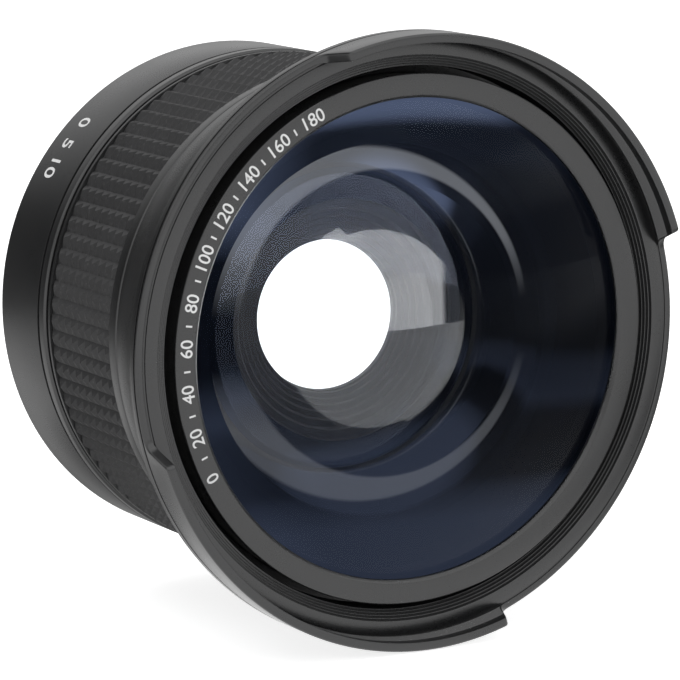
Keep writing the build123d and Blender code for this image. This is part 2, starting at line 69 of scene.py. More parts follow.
# The lens axis is world Y, and places along it are counted forward, so place = -Y.
MM = 0.001
FULL_TURN = 2 * pi
MERGE_REACH = 0.0004 * MM
TOLERANCE = 0.01 * MM
SMOOTH_ANGLE = 40.0
GLASS_SMOOTH_ANGLE = 25.0
GRIP_SMOOTH_ANGLE = 20.0


def reach(node):
    """Outer radius, rear place and front place of a node of the frame."""
    low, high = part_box(node)
    return high.x, -high.y, -low.y


REAR_RING_R, THREAD_END, REAR_RING_FRONT = reach("macro_barrel")
BARREL_R, BARREL_REAR, BARREL_FRONT = reach("main_barrel")
GRIP_R, GRIP_REAR, GRIP_FRONT = reach("rubber_grip")
HOOD_R, SPIGOT_REAR, PETAL_TIP = reach("front_hood")
NAME_RING_R, _, NAME_FACE = reach("name_ring")
FRONT_GLASS_R, BOWL_RIM, _ = reach("front_element")
SECOND_R, SECOND_REAR, SECOND_FRONT = reach("second_element")
THIRD_R, THIRD_REAR, THIRD_FRONT = reach("third_element")
MACRO_R, MACRO_REAR, MACRO_FRONT = reach("macro_element")


def size(name, description, default):
    """Length that a user can change, in metres."""
    return FloatProperty(
        name=name, description=description, default=default, min=0.0, precision=5, unit="LENGTH"
    )


def angle(name, description, default):
    """Angle that a user can change, given here in degrees."""
    return FloatProperty(
        name=name, description=description, default=radians(default), subtype="ANGLE", unit="ROTATION"
    )


def colour(name, description, default):
    """Colour that a user can change."""
    return FloatVectorProperty(
        name=name, description=description, default=default, min=0.0, max=1.0, subtype="COLOR"
    )


class LensSizes(bpy.types.PropertyGroup):
    """Sizes of the modelled pieces."""

    steps: IntProperty(name="Steps", description="Steps round each turned piece", default=240, min=24)
    easing: size("Edge easing", "Rounding of the turned edges", 0.07 * MM)
    pitch: size("Thread pitch", "Distance between thread ridges", 0.75 * MM)
    petal_height: size("Petal height", "How far the petals stand ahead of the hood's face", 4.2 * MM)
    petal_wall: size("Petal wall", "Thickness of the petals", 1.1 * MM)
    petal_centre: angle("Petal centre", "Middle of the upper petal, from +X", 62.6)
    petal_span: angle("Petal span", "Angle that each petal covers at its foot", 94.8)
    petal_slant: angle("Petal slant", "Lean of the petal ends", 22.0)
    grip_rows: IntProperty(name="Grip rows", description="Pyramids round the grip", default=96, min=12)
    grip_columns: IntProperty(name="Grip columns", description="Pyramids along the grip", default=9, min=2)
    grip_groove: size("Grip groove", "Depth of the grooves along the grip", 0.62 * MM)
    grip_notch: size("Grip notch", "Depth of the notches across the ribs", 0.5 * MM)
    dome_radius: size("Dome radius", "Radius of the front glass", 85.0 * MM)
    bowl_radius: size("Bowl radius", "Radius of the hollow behind the front glass", 25.0 * MM)
    bowl_r: size("Bowl mouth", "Distance from the axis to the bowl's edge", 20.9 * MM)
    scale_start: angle("Scale start", "Where the ring's numbers start, from +X", 207.0)
    scale_end: angle("Scale end", "Where the ring's numbers end, from +X", 117.0)
    scale_r: size("Scale radius", "Middle of the ring's numbers", 29.95 * MM)
    numeral_height: size("Numeral height", "Height of the ring's numbers", 1.55 * MM)


class LensColours(bpy.types.PropertyGroup):
    """Colours of the finishes."""

    metal: colour("Black metal", "Satin black anodising", (0.014, 0.0143, 0.015))
    inner: colour("Inner black", "Matt black inside the barrel", (0.010, 0.010, 0.011))
    rubber: colour("Grip rubber", "Moulded rubber", (0.022, 0.022, 0.023))
    dust: colour("Dust", "Dust on the rubber", (0.20, 0.20, 0.20))
    paint: colour("Edge paint", "Navy paint on the glass edges", (0.0175, 0.0228, 0.0385))
    coating: colour("Coating", "Tint of the front face's reflections", (0.018, 0.026, 0.045))
    inner_coating: colour("Inner coating", "Tint of the rear elements' reflections", (0.15, 0.17, 0.23))
    bare: colour("Bare glass", "Tint of the bowl's reflections", (0.95, 0.97, 1.0))
    # The crescents are a painted reflection: a grey glow in the bowl's steep rim.
    crescent: colour("Crescents", "Grey light in the bowl's steep rim", (0.115, 0.12, 0.13))
    mark: colour("Marks", "White of the numbers and ticks", (0.86, 0.86, 0.86))
    brass: colour("Brass", "Rolled brass", (0.62, 0.43, 0.17))
    steel: colour("Screw steel", "Blackened steel", (0.10, 0.10, 0.105))


class StudioSettings(bpy.types.PropertyGroup):
    """Camera and floor."""

    distance: size("Camera distance", "From the name ring's centre", 467.5 * MM)
    azimuth: angle("Camera azimuth", "Camera's place, to the left of the axis", 30.65)
    elevation: angle("Camera elevation", "Camera's place, above the axis", 9.765)
    heading: angle("Camera heading", "Where it looks, to the right of the axis", 29.563)
    dip: angle("Camera dip", "How far it looks down", 9.752)
    focal_mm: FloatProperty(name="Focal length", description="In millimetres", default=211.86)
    floor_gap: size("Floor gap", "Between the floor and the hood", 0.1 * MM)


class Value:
    """Output of a material node. Arithmetic on it adds the Math nodes."""

    def __init__(self, recipe, socket):
        self.recipe = recipe
        self.socket = socket

    def __add__(self, other):
        return self.recipe.maths("ADD", self, other)

    __radd__ = __add__

    def __sub__(self, other):
        return self.recipe.maths("SUBTRACT", self, other)

    def __rsub__(self, other):
        return self.recipe.maths("SUBTRACT", other, self)

    def __mul__(self, other):
        return self.recipe.maths("MULTIPLY", self, other)

    __rmul__ = __mul__


class Recipe:
    """Material or world under construction, as a tree of nodes."""

    def __init__(self, owner, output_kind="ShaderNodeOutputMaterial"):
        owner.use_nodes = True
        self.owner = owner
        self.tree = owner.node_tree
        self.tree.nodes.clear()
        self.output = self.tree.nodes.new(output_kind)

    def node(self, kind, settings=None, inputs=None, output=0):
        """Adds a node: its settings first, then the values or links of its sockets."""
        made = self.tree.nodes.new(kind)
        for name, value in (settings or {}).items():
            setattr(made, name, value)
        for name, value in (inputs or {}).items():
            self.feed(made.inputs[name], value)
        return Value(self, made.outputs[output])

    def feed(self, socket, value):
        """Links a node's output to a socket, or sets the socket's own value."""
        if isinstance(value, Value):
            self.tree.links.new(value.socket, socket)
        else:
            socket.default_value = value

    def maths(self, operation, first, second=0.0):
        """Number worked out from one or two others."""
        return self.node("ShaderNodeMath", {"operation": operation}, {0: first, 1: second})

    def noise(self, scale, detail=2.0, stretch=(1.0, 1.0, 1.0)):
        """Noise on the piece's own coordinates, in grains per metre, from 0 to 1."""
        place = self.node("ShaderNodeTexCoord", output="Object")
        placed = self.node("ShaderNodeMapping", inputs={"Vector": place, "Scale": stretch})
        wanted = {"Vector": placed, "Scale": scale, "Detail": detail}
        return self.node("ShaderNodeTexNoise", inputs=wanted)

    def parts(self, kind):
        """X, Y and Z of a kind of texture coordinate."""
        place = self.node("ShaderNodeTexCoord", output=kind)
        split = self.tree.nodes.new("ShaderNodeSeparateXYZ")
        self.feed(split.inputs[0], place)
        return [Value(self, split.outputs[axis]) for axis in "XYZ"]

    def off_centre(self, across, up, centre):
        """Distance from a centre, in the plane of two coordinates."""
        across, up = across - centre[0], up - centre[1]
        return self.maths("SQRT", across * across + up * up)

    def ramp(self, factor, low, high, start=0.0, end=1.0):
        """Number that runs from low to high as the factor runs between two stops."""
        wanted = {"Value": factor, "From Min": start, "From Max": end, "To Min": low, "To Max": high}
        return self.node("ShaderNodeMapRange", {"clamp": True}, wanted)

    def rise(self, factor, stops):
        """Number that rises from 0 to 1 between two stops, the second of which may be the lower."""
        return self.ramp(factor, 0.0, 1.0, *stops)

    def fall(self, factor, stops):
        """Number that falls from 1 to 0 between two stops."""
        return self.ramp(factor, 1.0, 0.0, *stops)

    def bands(self, factor, levels):
        """Grey that follows pairs of (stop, level), the first at 0 and the last at 1."""
        made = self.node("ShaderNodeValToRGB", inputs={"Fac": factor})
        elements = made.socket.node.color_ramp.elements
        elements[0].color, elements[1].color = grey(levels[0][1]), grey(levels[-1][1])
        for stop, level in levels[1:-1]:
            elements.new(stop).color = grey(level)
        return made

    def blend(self, factor, first, second):
        """Colour between two colours. The Mix node keeps its colours in sockets 6, 7 and 2."""
        return self.node("ShaderNodeMix", {"data_type": "RGBA"}, {0: factor, 6: first, 7: second}, 2)

    def tones(self, factor, base, low, high):
        """Shade between two shares of a base colour."""
        return self.blend(factor, rgba(base, low), rgba(base, high))

    def mix(self, factor, first, second):
        """Shader between two shaders."""
        return self.node("ShaderNodeMixShader", inputs={0: factor, 1: first, 2: second})

    def bump(self, height, distance):
        """Normal bent by a height, whose full range is a distance in metres."""
        wanted = {"Height": height, "Distance": distance, "Strength": 1.0}
        return self.node("ShaderNodeBump", inputs=wanted)

    def surface(self, inputs):
        """Principled shader with these sockets, as the material's surface."""
        shader = self.node("ShaderNodeBsdfPrincipled", inputs=inputs)
        self.feed(self.output.inputs["Surface"], shader)
        return self.owner


def rgba(shade, factor=1.0):
    """Colour with alpha, made lighter or darker."""
    return (shade[0] * factor, shade[1] * factor, shade[2] * factor, 1.0)


def grey(level):
    """Grey with alpha, where 1 is white."""
    return (level, level, level, 1.0)


def new_material(name):
    return Recipe(bpy.data.materials.new(name))


# Stops of the noise between which a tone or a speck comes up, and how strongly it shows
METAL_TONES = (0.3, 0.7)
METAL_SPECKS = (0.70, 0.78)
GRAIN_SHARE = 0.7
SPECK_SHARE = 0.25
DUST_SPECKS = (0.60, 0.82)
DUST_SHARE = 0.35


def satin_metal():
    """Black anodising on a finely blasted surface, with lighter specks."""
    base = bpy.context.scene.lens_colours.metal
    recipe = new_material("satin_black_metal")
    grain = recipe.noise(7500.0, 3.0)
    cloud = recipe.noise(160.0, 3.0)
    speck = recipe.rise(recipe.noise(2600.0, 2.0), METAL_SPECKS)
    tone = recipe.rise(grain * GRAIN_SHARE + cloud * (1 - GRAIN_SHARE), METAL_TONES)
    shade = recipe.tones(tone, base, 0.78, 1.25)
    return recipe.surface({
        "Base Color": recipe.blend(speck * SPECK_SHARE, shade, rgba(base, 3.0)),
        "Roughness": recipe.ramp(cloud, 0.25, 0.33) + (grain - 0.5) * 0.08,
        "IOR": 1.6,
        "Normal": recipe.bump(grain, 0.008 * MM),
    })


def grip_rubber():
    """Moulded rubber with a little dust."""
    colours = bpy.context.scene.lens_colours
    recipe = new_material("grip_rubber")
    grain = recipe.noise(4200.0, 3.0)
    cloud = recipe.noise(260.0, 3.0)
    dust = recipe.rise(recipe.noise(3300.0, 4.0), DUST_SPECKS)
    shade = recipe.tones(cloud, colours.rubber, 0.75, 1.3)
    return recipe.surface({
        "Base Color": recipe.blend(dust * DUST_SHARE, shade, rgba(colours.dust)),
        "Roughness": recipe.ramp(grain, 0.5, 0.72),
        "Normal": recipe.bump(grain, 0.03 * MM),
    })


def grained(name, base, noise, shares, roughness, metallic=0.0, depth=0.0):
    """Material whose shade, roughness and height follow one grain."""
    recipe = new_material(name)
    grain = recipe.noise(*noise)
    inputs = {
        "Base Color": recipe.tones(grain, base, *shares),
        "Metallic": metallic,
        "Roughness": recipe.ramp(grain, *roughness),
    }
    if depth:
        inputs["Normal"] = recipe.bump(grain, depth)
    return recipe.surface(inputs)


def inner_black():
    """Matt black inside the barrel."""
    base = bpy.context.scene.lens_colours.inner
    return grained("inner_black_metal", base, (5200.0, 2.0), (0.7, 1.4), (0.5, 0.7), depth=0.02 * MM)


def gasket_rubber():
    """Plain soft black."""
    base = bpy.context.scene.lens_colours.inner
    return grained("gasket_rubber", base, (3000.0, 2.0), (0.6, 1.1), (0.6, 0.8))


def mark_paint():
    """White paint of the numbers and ticks."""
    base = bpy.context.scene.lens_colours.mark
    return grained("mark_paint", base, (6000.0, 2.0), (0.9, 1.0), (0.5, 0.65))


def rolled_brass():
    """Brass whose grain is drawn out along the lens axis."""
    base = bpy.context.scene.lens_colours.brass
    noise = (1800.0, 3.0, (1.0, 0.1, 1.0))
    return grained("rolled_brass", base, noise, (0.85, 1.0), (0.25, 0.4), metallic=1.0)


def screw_steel():
    """Blackened steel."""
    base = bpy.context.scene.lens_colours.steel
    return grained("screw_steel", base, (2400.0, 3.0), (0.8, 1.1), (0.3, 0.45), metallic=1.0)


def clear_glass(name, coating, glow=None):
    """Clear glass whose reflections have the tint of its coating."""
    recipe = glow.recipe if glow else new_material(name)
    smear = recipe.noise(60.0, 2.0)
    inputs = {
        "Base Color": recipe.blend(smear, (0.97, 0.985, 1.0, 1.0), grey(1.0)),
        "Roughness": 0.0,
        "IOR": 1.52,
        "Transmission Weight": 1.0,
        "Specular Tint": rgba(coating),
    }
    # A glow, if given, is painted reflection on the glass.
    if glow:
        inputs.update({"Emission Color": glow, "Emission Strength": 1.0})
    return recipe.surface(inputs)


def coated_glass():
    """Front face with a dim blue coating."""
    return clear_glass("coated_glass", bpy.context.scene.lens_colours.coating)


# Painted reflections of crescents in the bowl: centres (x, z) and soft edges of the circles that bound
# them, then their fading
CRESCENT_INNER_CENTRE = (-1.2 * MM, 1.3 * MM)
CRESCENT_INNER_EDGE = (17.1 * MM, 17.4 * MM)
CRESCENT_OUTER_CENTRE = (-2.4 * MM, 1.0 * MM)
CRESCENT_OUTER_EDGE = (19.5 * MM, 19.9 * MM)
CRESCENT_ENDS = (3.0 * MM, 10.0 * MM)
CRESCENT_RISE = (0.0, 12.0 * MM)
CRESCENT_LOW_SHARE = 0.45


def bare_glass():
    """Bowl of the front element: no coating, and grey crescents above and below in its steep rim, a
    painted reflection that glows.
    """
    colours = bpy.context.scene.lens_colours
    recipe = new_material("bare_glass")
    x, _, z = recipe.parts("Object")
    inner = recipe.off_centre(x, z, CRESCENT_INNER_CENTRE)
    outer = recipe.off_centre(x, z, CRESCENT_OUTER_CENTRE)
    ends = recipe.rise(recipe.maths("ABSOLUTE", z), CRESCENT_ENDS)
    inside = recipe.rise(inner, CRESCENT_INNER_EDGE)
    within = recipe.fall(outer, CRESCENT_OUTER_EDGE)
    upper = recipe.ramp(z, CRESCENT_LOW_SHARE, 1.0, *CRESCENT_RISE)
    glow = recipe.tones(inside * within * ends * upper, colours.crescent, 0.0, 1.0)
    return clear_glass("bare_glass", colours.bare, glow)


def inner_glass():
    """Coated faces of the elements behind the front one."""
    return clear_glass("inner_glass", bpy.context.scene.lens_colours.inner_coating)


PAINTED_LIGHT_BANDS = (
    # height on the lens in mm, share of the painted light
    (-29.0, 1.2), (-22.0, 1.1), (-19.0, 0.55), (-17.5, 0.1), (-13.5, 0.05), (-11.0, 0.08), (-9.0, 0.5),
    (-5.5, 0.35), (-3.5, 0.05), (6.0, 0.1), (13.0, 0.12), (16.5, 0.16), (19.0, 0.34), (22.0, 0.3),
    (22.8, 0.4), (23.6, 1.5), (24.4, 3.0), (25.5, 3.8), (29.0, 3.8),
)
# Share of the painted light at which the glow stops rising
PAINTED_LIGHT_PEAK = 4.0
# More painted light on the left of the lens, between these places across and heights
PAINTED_LIGHT_LEFT = (-8.0 * MM, -20.0 * MM)
PAINTED_LIGHT_UPPER_LEFT = (9.0 * MM, 14.0 * MM)
PAINTED_LIGHT_UPPER_LEFT_SHARE = 2.6
PAINTED_LIGHT_LOWER_LEFT = (-9.0 * MM, -5.0 * MM)
PAINTED_LIGHT_LOWER_LEFT_SHARE = 0.5


def edge_paint():
    """Navy paint on the ground edges, whose glow is painted light and painted highlight standing for the
    studio's light on it, in soft bands.
    """
    base = bpy.context.scene.lens_colours.paint
    recipe = new_material("edge_paint")
    grain = recipe.noise(900.0, 3.0)
    x, _, z = recipe.parts("Object")
    low, high = PAINTED_LIGHT_BANDS[0][0], PAINTED_LIGHT_BANDS[-1][0]
    levels = [((height - low) / (high - low), level) for height, level in PAINTED_LIGHT_BANDS]
    lit = recipe.bands(recipe.ramp(z, 0.0, 1.0, low * MM, high * MM), levels)
    left = recipe.ramp(z, 0.0, PAINTED_LIGHT_UPPER_LEFT_SHARE, *PAINTED_LIGHT_UPPER_LEFT)
    left = left + recipe.ramp(z, PAINTED_LIGHT_LOWER_LEFT_SHARE, 0.0, *PAINTED_LIGHT_LOWER_LEFT)
    lit = lit + left * recipe.rise(x, PAINTED_LIGHT_LEFT)
    return recipe.surface({
        "Base Color": recipe.tones(grain, base, 0.05, 0.10),
        "Roughness": recipe.ramp(grain, 0.45, 0.6),
        "Specular IOR Level": 0.0,
        # The emission is painted light: bands along the height, with more on the left.
        "Emission Color": recipe.tones(lit * (1 / PAINTED_LIGHT_PEAK), base, 0.0, PAINTED_LIGHT_PEAK),
        "Emission Strength": 1.0,
    })


FINISHES = {
    "black_metal": satin_metal,
    "inner_black": inner_black,
    "grip_rubber": grip_rubber,
    "gasket_rubber": gasket_rubber,
    "coated_glass": coated_glass,
    "bare_glass": bare_glass,
    "inner_glass": inner_glass,
    "brass_shim": rolled_brass,
    "screw_steel": screw_steel,
    "edge_paint": edge_paint,
    "mark_paint": mark_paint,
}


@cache
def finish(name):
    """The material of a finish, made when it is first asked for."""
    return FINISHES[name]()


def give_finishes(piece, *names):
    """Puts these finishes in the piece's material slots, in order."""
    piece.data.materials.clear()
    for name in names:
        piece.data.materials.append(finish(name))


def added(operator, **settings):
    """New object that an operator adds while nothing else is selected."""
    bpy.ops.object.select_all(action="DESELECT")
    operator(**settings)
    return bpy.context.object


def named(piece, name):
    """The same piece, with its name on its data too."""
    piece.name = name
    piece.data.name = name
    return piece


def edit(piece):
    """Enters edit mode on one piece alone."""
    bpy.ops.object.select_all(action="DESELECT")
    piece.select_set(True)
    bpy.context.view_layer.objects.active = piece
    bpy.ops.object.mode_set(mode="EDIT")
    bpy.ops.mesh.select_mode(type="VERT")


def leave_edit():
    bpy.ops.object.mode_set(mode="OBJECT")


def merge_doubles(threshold=MERGE_REACH):
    """Merges all vertices of the piece in edit mode that lie together."""
    bpy.ops.mesh.select_all(action="SELECT")
    bpy.ops.mesh.remove_doubles(threshold=threshold)


def off_axis(turn, r, place):
    """Point at an angle from +X, a distance from the lens axis and a place along it."""
    return Vector((r * cos(turn), -place, r * sin(turn)))


def axis_distance(point):
    """Distance of a point from the lens axis."""
    return hypot(point.x, point.z)


def section_place(point):
    """Place of a section's point (r, place) in the plane of X and Y."""
    return Vector((point[0], -point[1], 0.0))


def draw_section(name, corners):
    """New piece, in edit mode, whose edges are a closed section drawn corner by corner."""
    piece = named(added(bpy.ops.mesh.primitive_plane_add, size=MM), name)
    edit(piece)
    bpy.ops.mesh.select_all(action="SELECT")
    bpy.ops.mesh.merge(type="CENTER")
    bpy.ops.mesh.select_all(action="SELECT")
    here = Vector((0.0, 0.0, 0.0))
    there = section_place(corners[0])
    bpy.ops.transform.translate(value=there - here)
    for corner in [*corners[1:], corners[0]]:
        here, there = there, section_place(corner)
        bpy.ops.mesh.extrude_region_move(TRANSFORM_OT_translate={"value": there - here})
    merge_doubles()
    return piece


def spin_section(stretches):
    """Spins the section in edit mode once round the axis, in stretches of (angle, steps)."""
    bpy.ops.mesh.select_all(action="SELECT")
    for turn, steps in stretches:
        bpy.ops.mesh.spin(steps=steps, angle=turn, center=(0, 0, 0), axis=(0, 1, 0))


def close_up(smooth_angle):
    """Merges doubles, turns the faces outwards, leaves edit mode and smooths the gentle edges."""
    merge_doubles()
    bpy.ops.mesh.dissolve_degenerate(threshold=MERGE_REACH)
    bpy.ops.mesh.select_all(action="SELECT")
    bpy.ops.mesh.normals_make_consistent(inside=False)
    leave_edit()
    bpy.ops.object.shade_smooth_by_angle(angle=radians(smooth_angle))


def lathe(name, corners, smooth_angle=SMOOTH_ANGLE):
    """Piece turned about the lens axis from its closed section."""
    piece = draw_section(name, corners)
    spin_section([(FULL_TURN, bpy.context.scene.lens_sizes.steps)])
    close_up(smooth_angle)
    return piece


# Most that an eased corner takes of the lines beside it
EASING_SHARE = 0.3


def eased(corners):
    """The same closed section with each corner rounded a little."""
    easing = bpy.context.scene.lens_sizes.easing
    points = []
    for i, corner in enumerate(corners):
        here = Vector(corner)
        before = Vector(corners[i - 1]) - here
        after = Vector(corners[(i + 1) % len(corners)]) - here
        cut = min(easing, EASING_SHARE * before.length, EASING_SHARE * after.length)
        start = here + before.normalized() * cut
        end = here + after.normalized() * cut
        points += [tuple(start), tuple((start + 2 * here + end) / 4), tuple(end)]
    return points


def eased_run(corners):
    """Open stretch of a section, with all but its two ends rounded a little."""
    return [corners[0], *eased(corners)[3:-3], corners[-1]]


THREAD_CREST_SHARE = 0.22
THREAD_FLANK_SHARE = 0.29


def thread_ridges(crest_r, root_r, start, count, direction):
    """Section of a row of thread ridges along the axis from start, in direction 1 or -1."""
    pitch = bpy.context.scene.lens_sizes.pitch
    crest = pitch * THREAD_CREST_SHARE
    flank = pitch * THREAD_FLANK_SHARE
    points = []
    for i in range(count):
        place = start + direction * pitch * i
        points.append((root_r, place))
        points.append((crest_r, place + direction * flank))
        points.append((crest_r, place + direction * (flank + crest)))
        points.append((root_r, place + direction * (2 * flank + crest)))
    return points


def dress(piece, body, node, *finishes):
    """Gives a piece its finishes, the first of which is its slot, its body and its node."""
    give_finishes(piece, *finishes)
    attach(piece, body)
    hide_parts(node)


def select_where(piece, test):
    """Selects in edit mode the vertices whose place passes the test."""
    leave_edit()
    for vertex in piece.data.vertices:
        vertex.select = test(vertex.co)
    for part in (*piece.data.edges, *piece.data.polygons):
        part.select = all(piece.data.vertices[i].select for i in part.vertices)
    bpy.ops.object.mode_set(mode="EDIT")


# Rear ring
MOUNT_THREAD_R = 25.95 * MM
MOUNT_TOOTH = 0.45 * MM
MOUNT_TURNS = 4
MOUNT_RUNOUT = 0.5 * MM
REAR_CHAMFER = 0.4 * MM
REAR_FRONT_CHAMFER = 0.25 * MM
REAR_GROOVE = 10.45 * MM
REAR_GROOVE_WIDTH = 0.5 * MM
REAR_GROOVE_DEPTH = 0.55 * MM
MACRO_LIP_R = 20.4 * MM
MACRO_LIP = 2.7 * MM
MACRO_RING_R = 22.85 * MM
MACRO_SEAT = 4.96 * MM
COUPLING_R = 27.6 * MM
COUPLING_TOOTH = 0.5 * MM
COUPLING_DEPTH = 5.0 * MM
COUPLING_TURNS = 5
COUPLING_CHAMFER = 0.4 * MM
FIT_GAP = 0.05 * MM


class LENS_OT_rear_ring(bpy.types.Operator):
    """Rear ring with the mount thread behind and the coupling thread in front"""

    bl_idname = "lens.rear_ring"
    bl_label = "Rear ring"

    def execute(self, context):
        pitch = context.scene.lens_sizes.pitch
        mount_root_r = MOUNT_THREAD_R - MOUNT_TOOTH
        coupling_root_r = COUPLING_R + COUPLING_TOOTH
        coupling_floor = REAR_RING_FRONT - COUPLING_DEPTH
        groove_front = REAR_GROOVE + REAR_GROOVE_WIDTH
        mount = [(MOUNT_THREAD_R, 0.0), (MOUNT_THREAD_R, -MOUNT_RUNOUT)]
        mount += thread_ridges(MOUNT_THREAD_R, mount_root_r, -MOUNT_RUNOUT, MOUNT_TURNS, -1)
        bore = [
            (mount_root_r, THREAD_END),
            (MACRO_LIP_R, THREAD_END),
            (MACRO_LIP_R, MACRO_LIP),
            (MACRO_R + FIT_GAP, MACRO_LIP),
            (MACRO_R + FIT_GAP, MACRO_SEAT),
            (MACRO_RING_R + FIT_GAP, MACRO_SEAT),
            (MACRO_RING_R + FIT_GAP, coupling_floor),
            (coupling_root_r, coupling_floor),
        ]
        coupling = thread_ridges(COUPLING_R, coupling_root_r, coupling_floor + pitch, COUPLING_TURNS, 1)
        outside = [
            (coupling_root_r, REAR_RING_FRONT - COUPLING_CHAMFER),
            (coupling_root_r + COUPLING_CHAMFER, REAR_RING_FRONT),
            (REAR_RING_R - REAR_FRONT_CHAMFER, REAR_RING_FRONT),
            (REAR_RING_R, REAR_RING_FRONT - REAR_FRONT_CHAMFER),
            (REAR_RING_R, groove_front),
            (REAR_RING_R - REAR_GROOVE_DEPTH, groove_front),
            (REAR_RING_R - REAR_GROOVE_DEPTH, REAR_GROOVE),
            (REAR_RING_R, REAR_GROOVE),
            (REAR_RING_R, REAR_CHAMFER),
            (REAR_RING_R - REAR_CHAMFER, 0.0),
        ]
        ring = lathe("rear_ring", eased(mount + bore + coupling + outside))
        dress(ring, "closeup_unit", "macro_barrel", "black_metal")
        return {"FINISHED"}


# Main barrel
BARREL_TUBE_R = 29.4 * MM
BARREL_LIP_R = 31.0 * MM
BARREL_LIP = 0.5 * MM
FLANGE_LENGTH = 1.85 * MM
FLANGE_CHAMFER = 0.2 * MM
BARREL_BORE_R = 27.9 * MM


class LENS_OT_barrel(bpy.types.Operator):
    """Tube under the grip, with the smooth flange ahead of it"""

    bl_idname = "lens.barrel"
    bl_label = "Barrel"

    def execute(self, context):
        flange_rear = BARREL_FRONT - FLANGE_LENGTH
        corners = [
            (BARREL_BORE_R, BARREL_REAR),
            (BARREL_LIP_R, BARREL_REAR),
            (BARREL_LIP_R, BARREL_REAR + BARREL_LIP),
            (BARREL_TUBE_R, BARREL_REAR + BARREL_LIP),
            (BARREL_TUBE_R, flange_rear),
            (BARREL_R, flange_rear),
            (BARREL_R, BARREL_FRONT - FLANGE_CHAMFER),
            (BARREL_R - FLANGE_CHAMFER, BARREL_FRONT),
            (BARREL_BORE_R, BARREL_FRONT),
        ]
        barrel = lathe("barrel", eased(corners))
        dress(barrel, "front_unit", "main_barrel", "black_metal")
        return {"FINISHED"}


# The crests lean off the middle of their row by this share of half its width
GRIP_CREST_SHARE = 0.10
BORE_MARGIN = 0.25 * MM


class LENS_OT_grip(bpy.types.Operator):
    """Rubber sleeve of small pyramids"""

    bl_idname = "lens.grip"
    bl_label = "Grip"

    def execute(self, context):
        sizes = context.scene.lens_sizes
        grip = self.rib_of_pyramids(sizes)
        bpy.ops.mesh.select_all(action="SELECT")
        turn = FULL_TURN * (sizes.grip_rows - 1) / sizes.grip_rows
        bpy.ops.mesh.spin(
            steps=sizes.grip_rows - 1, dupli=True, angle=turn, center=(0, 0, 0), axis=(0, 1, 0)
        )
        merge_doubles(2 * TOLERANCE)
        self.add_sleeve(grip)
        close_up(GRIP_SMOOTH_ANGLE)
        dress(grip, "front_unit", "rubber_grip", "grip_rubber")
        return {"FINISHED"}

    def rib_of_pyramids(self, sizes):
        """One row along the axis, in edit mode: four faces for each pyramid, raised where they meet."""
        pitch = (GRIP_FRONT - GRIP_REAR) / sizes.grip_columns
        half = pi / sizes.grip_rows
        notch_share = sizes.grip_notch / sizes.grip_groove
        grid = added(bpy.ops.mesh.primitive_grid_add, x_subdivisions=2, y_subdivisions=2, size=2.0)
        grip = named(grid, "grip")
        for vertex in grip.data.vertices:
            across, along = round(vertex.co.x), round(vertex.co.y)
            if across:
                r, turn = GRIP_R - sizes.grip_groove, half * across
            elif along:
                r, turn = GRIP_R - sizes.grip_notch, -half * notch_share
            else:
                r, turn = GRIP_R, -half * GRIP_CREST_SHARE
            vertex.co = off_axis(turn, r, GRIP_REAR + pitch * (1 - along) / 2)
        edit(grip)
        for column in range(sizes.grip_columns - 1):
            select_where(grip, lambda co, n=column: -co.y >= GRIP_REAR + pitch * n - MERGE_REACH)
            bpy.ops.mesh.duplicate_move(TRANSFORM_OT_translate={"value": (0.0, -pitch, 0.0)})
        merge_doubles(TOLERANCE)
        return grip

    def add_sleeve(self, grip):
        """Closes the ends down to the bore, and the bore itself."""
        bore_r = BARREL_TUBE_R + FIT_GAP
        for place in (GRIP_REAR, GRIP_FRONT):
            select_where(grip, lambda co, p=place: abs(-co.y - p) < TOLERANCE and
                         axis_distance(co) > bore_r + BORE_MARGIN)
            bpy.ops.mesh.extrude_edges_move()
            leave_edit()
            for vertex in grip.data.vertices:
                if vertex.select:
                    scale = bore_r / axis_distance(vertex.co)
                    vertex.co = (vertex.co.x * scale, vertex.co.y, vertex.co.z * scale)
            bpy.ops.object.mode_set(mode="EDIT")
        select_where(grip, lambda co: axis_distance(co) < bore_r + TOLERANCE)
        bpy.ops.mesh.bridge_edge_loops()


# Hood
SPIGOT_R = 27.95 * MM
SPIGOT_BORE_R = 26.0 * MM
HOOD_BORE_R = 27.2 * MM
HOOD_BORE_STEP = 1.2 * MM
SEAM_R = 30.4 * MM
SEAM_WIDTH = 0.6 * MM
SHOULDER_R = 31.35 * MM
SHOULDER_LENGTH = 0.7 * MM
SHOULDER_CHAMFER = 0.3 * MM
FLARE_END_DROP = 1.6 * MM
FLARE_HOLLOW = 0.7 * MM
FLARE_POINTS = 16
EDGE_GROOVE_DROP = 0.7 * MM
EDGE_GROOVE_WIDTH = 0.3 * MM
EDGE_GROOVE_DEPTH = 0.25 * MM
MOUTH_R = 33.45 * MM
MOUTH_GROOVES = 5
MOUTH_STEP = 0.33 * MM
MOUTH_FALL = 0.25 * MM
MOUTH_GROOVE_DEPTH = 0.12 * MM
MOUTH_EDGE = 0.08 * MM
FRONT_FLOOR_DEPTH = 4.6 * MM
NAME_BORE_R = 31.05 * MM
GLASS_LEDGE_DEPTH = 7.4 * MM
FACE_GROOVE_R = 35.1 * MM
FACE_GROOVE_DEPTH = 0.2 * MM
RIDGE_PITCH = 0.46 * MM
RIDGE_DEPTH = 0.2 * MM
RIDGE_COUNT = 5
RIDGE_BASE = 0.55 * MM
TIP_ROUNDING = 0.35 * MM
TIP_POINTS = 5
TIP_INNER_ROUNDING = 0.12 * MM
TIP_INNER_POINTS = 3
FOOT_FILLET = 1.7 * MM
TIP_FILLET = 0.6 * MM
PETALS = 2
LEAST_STEPS = 2
FINE_SPAN = radians(5.6)
FINE_STEPS = 30
FINE_INNER_SHARE = 0.7


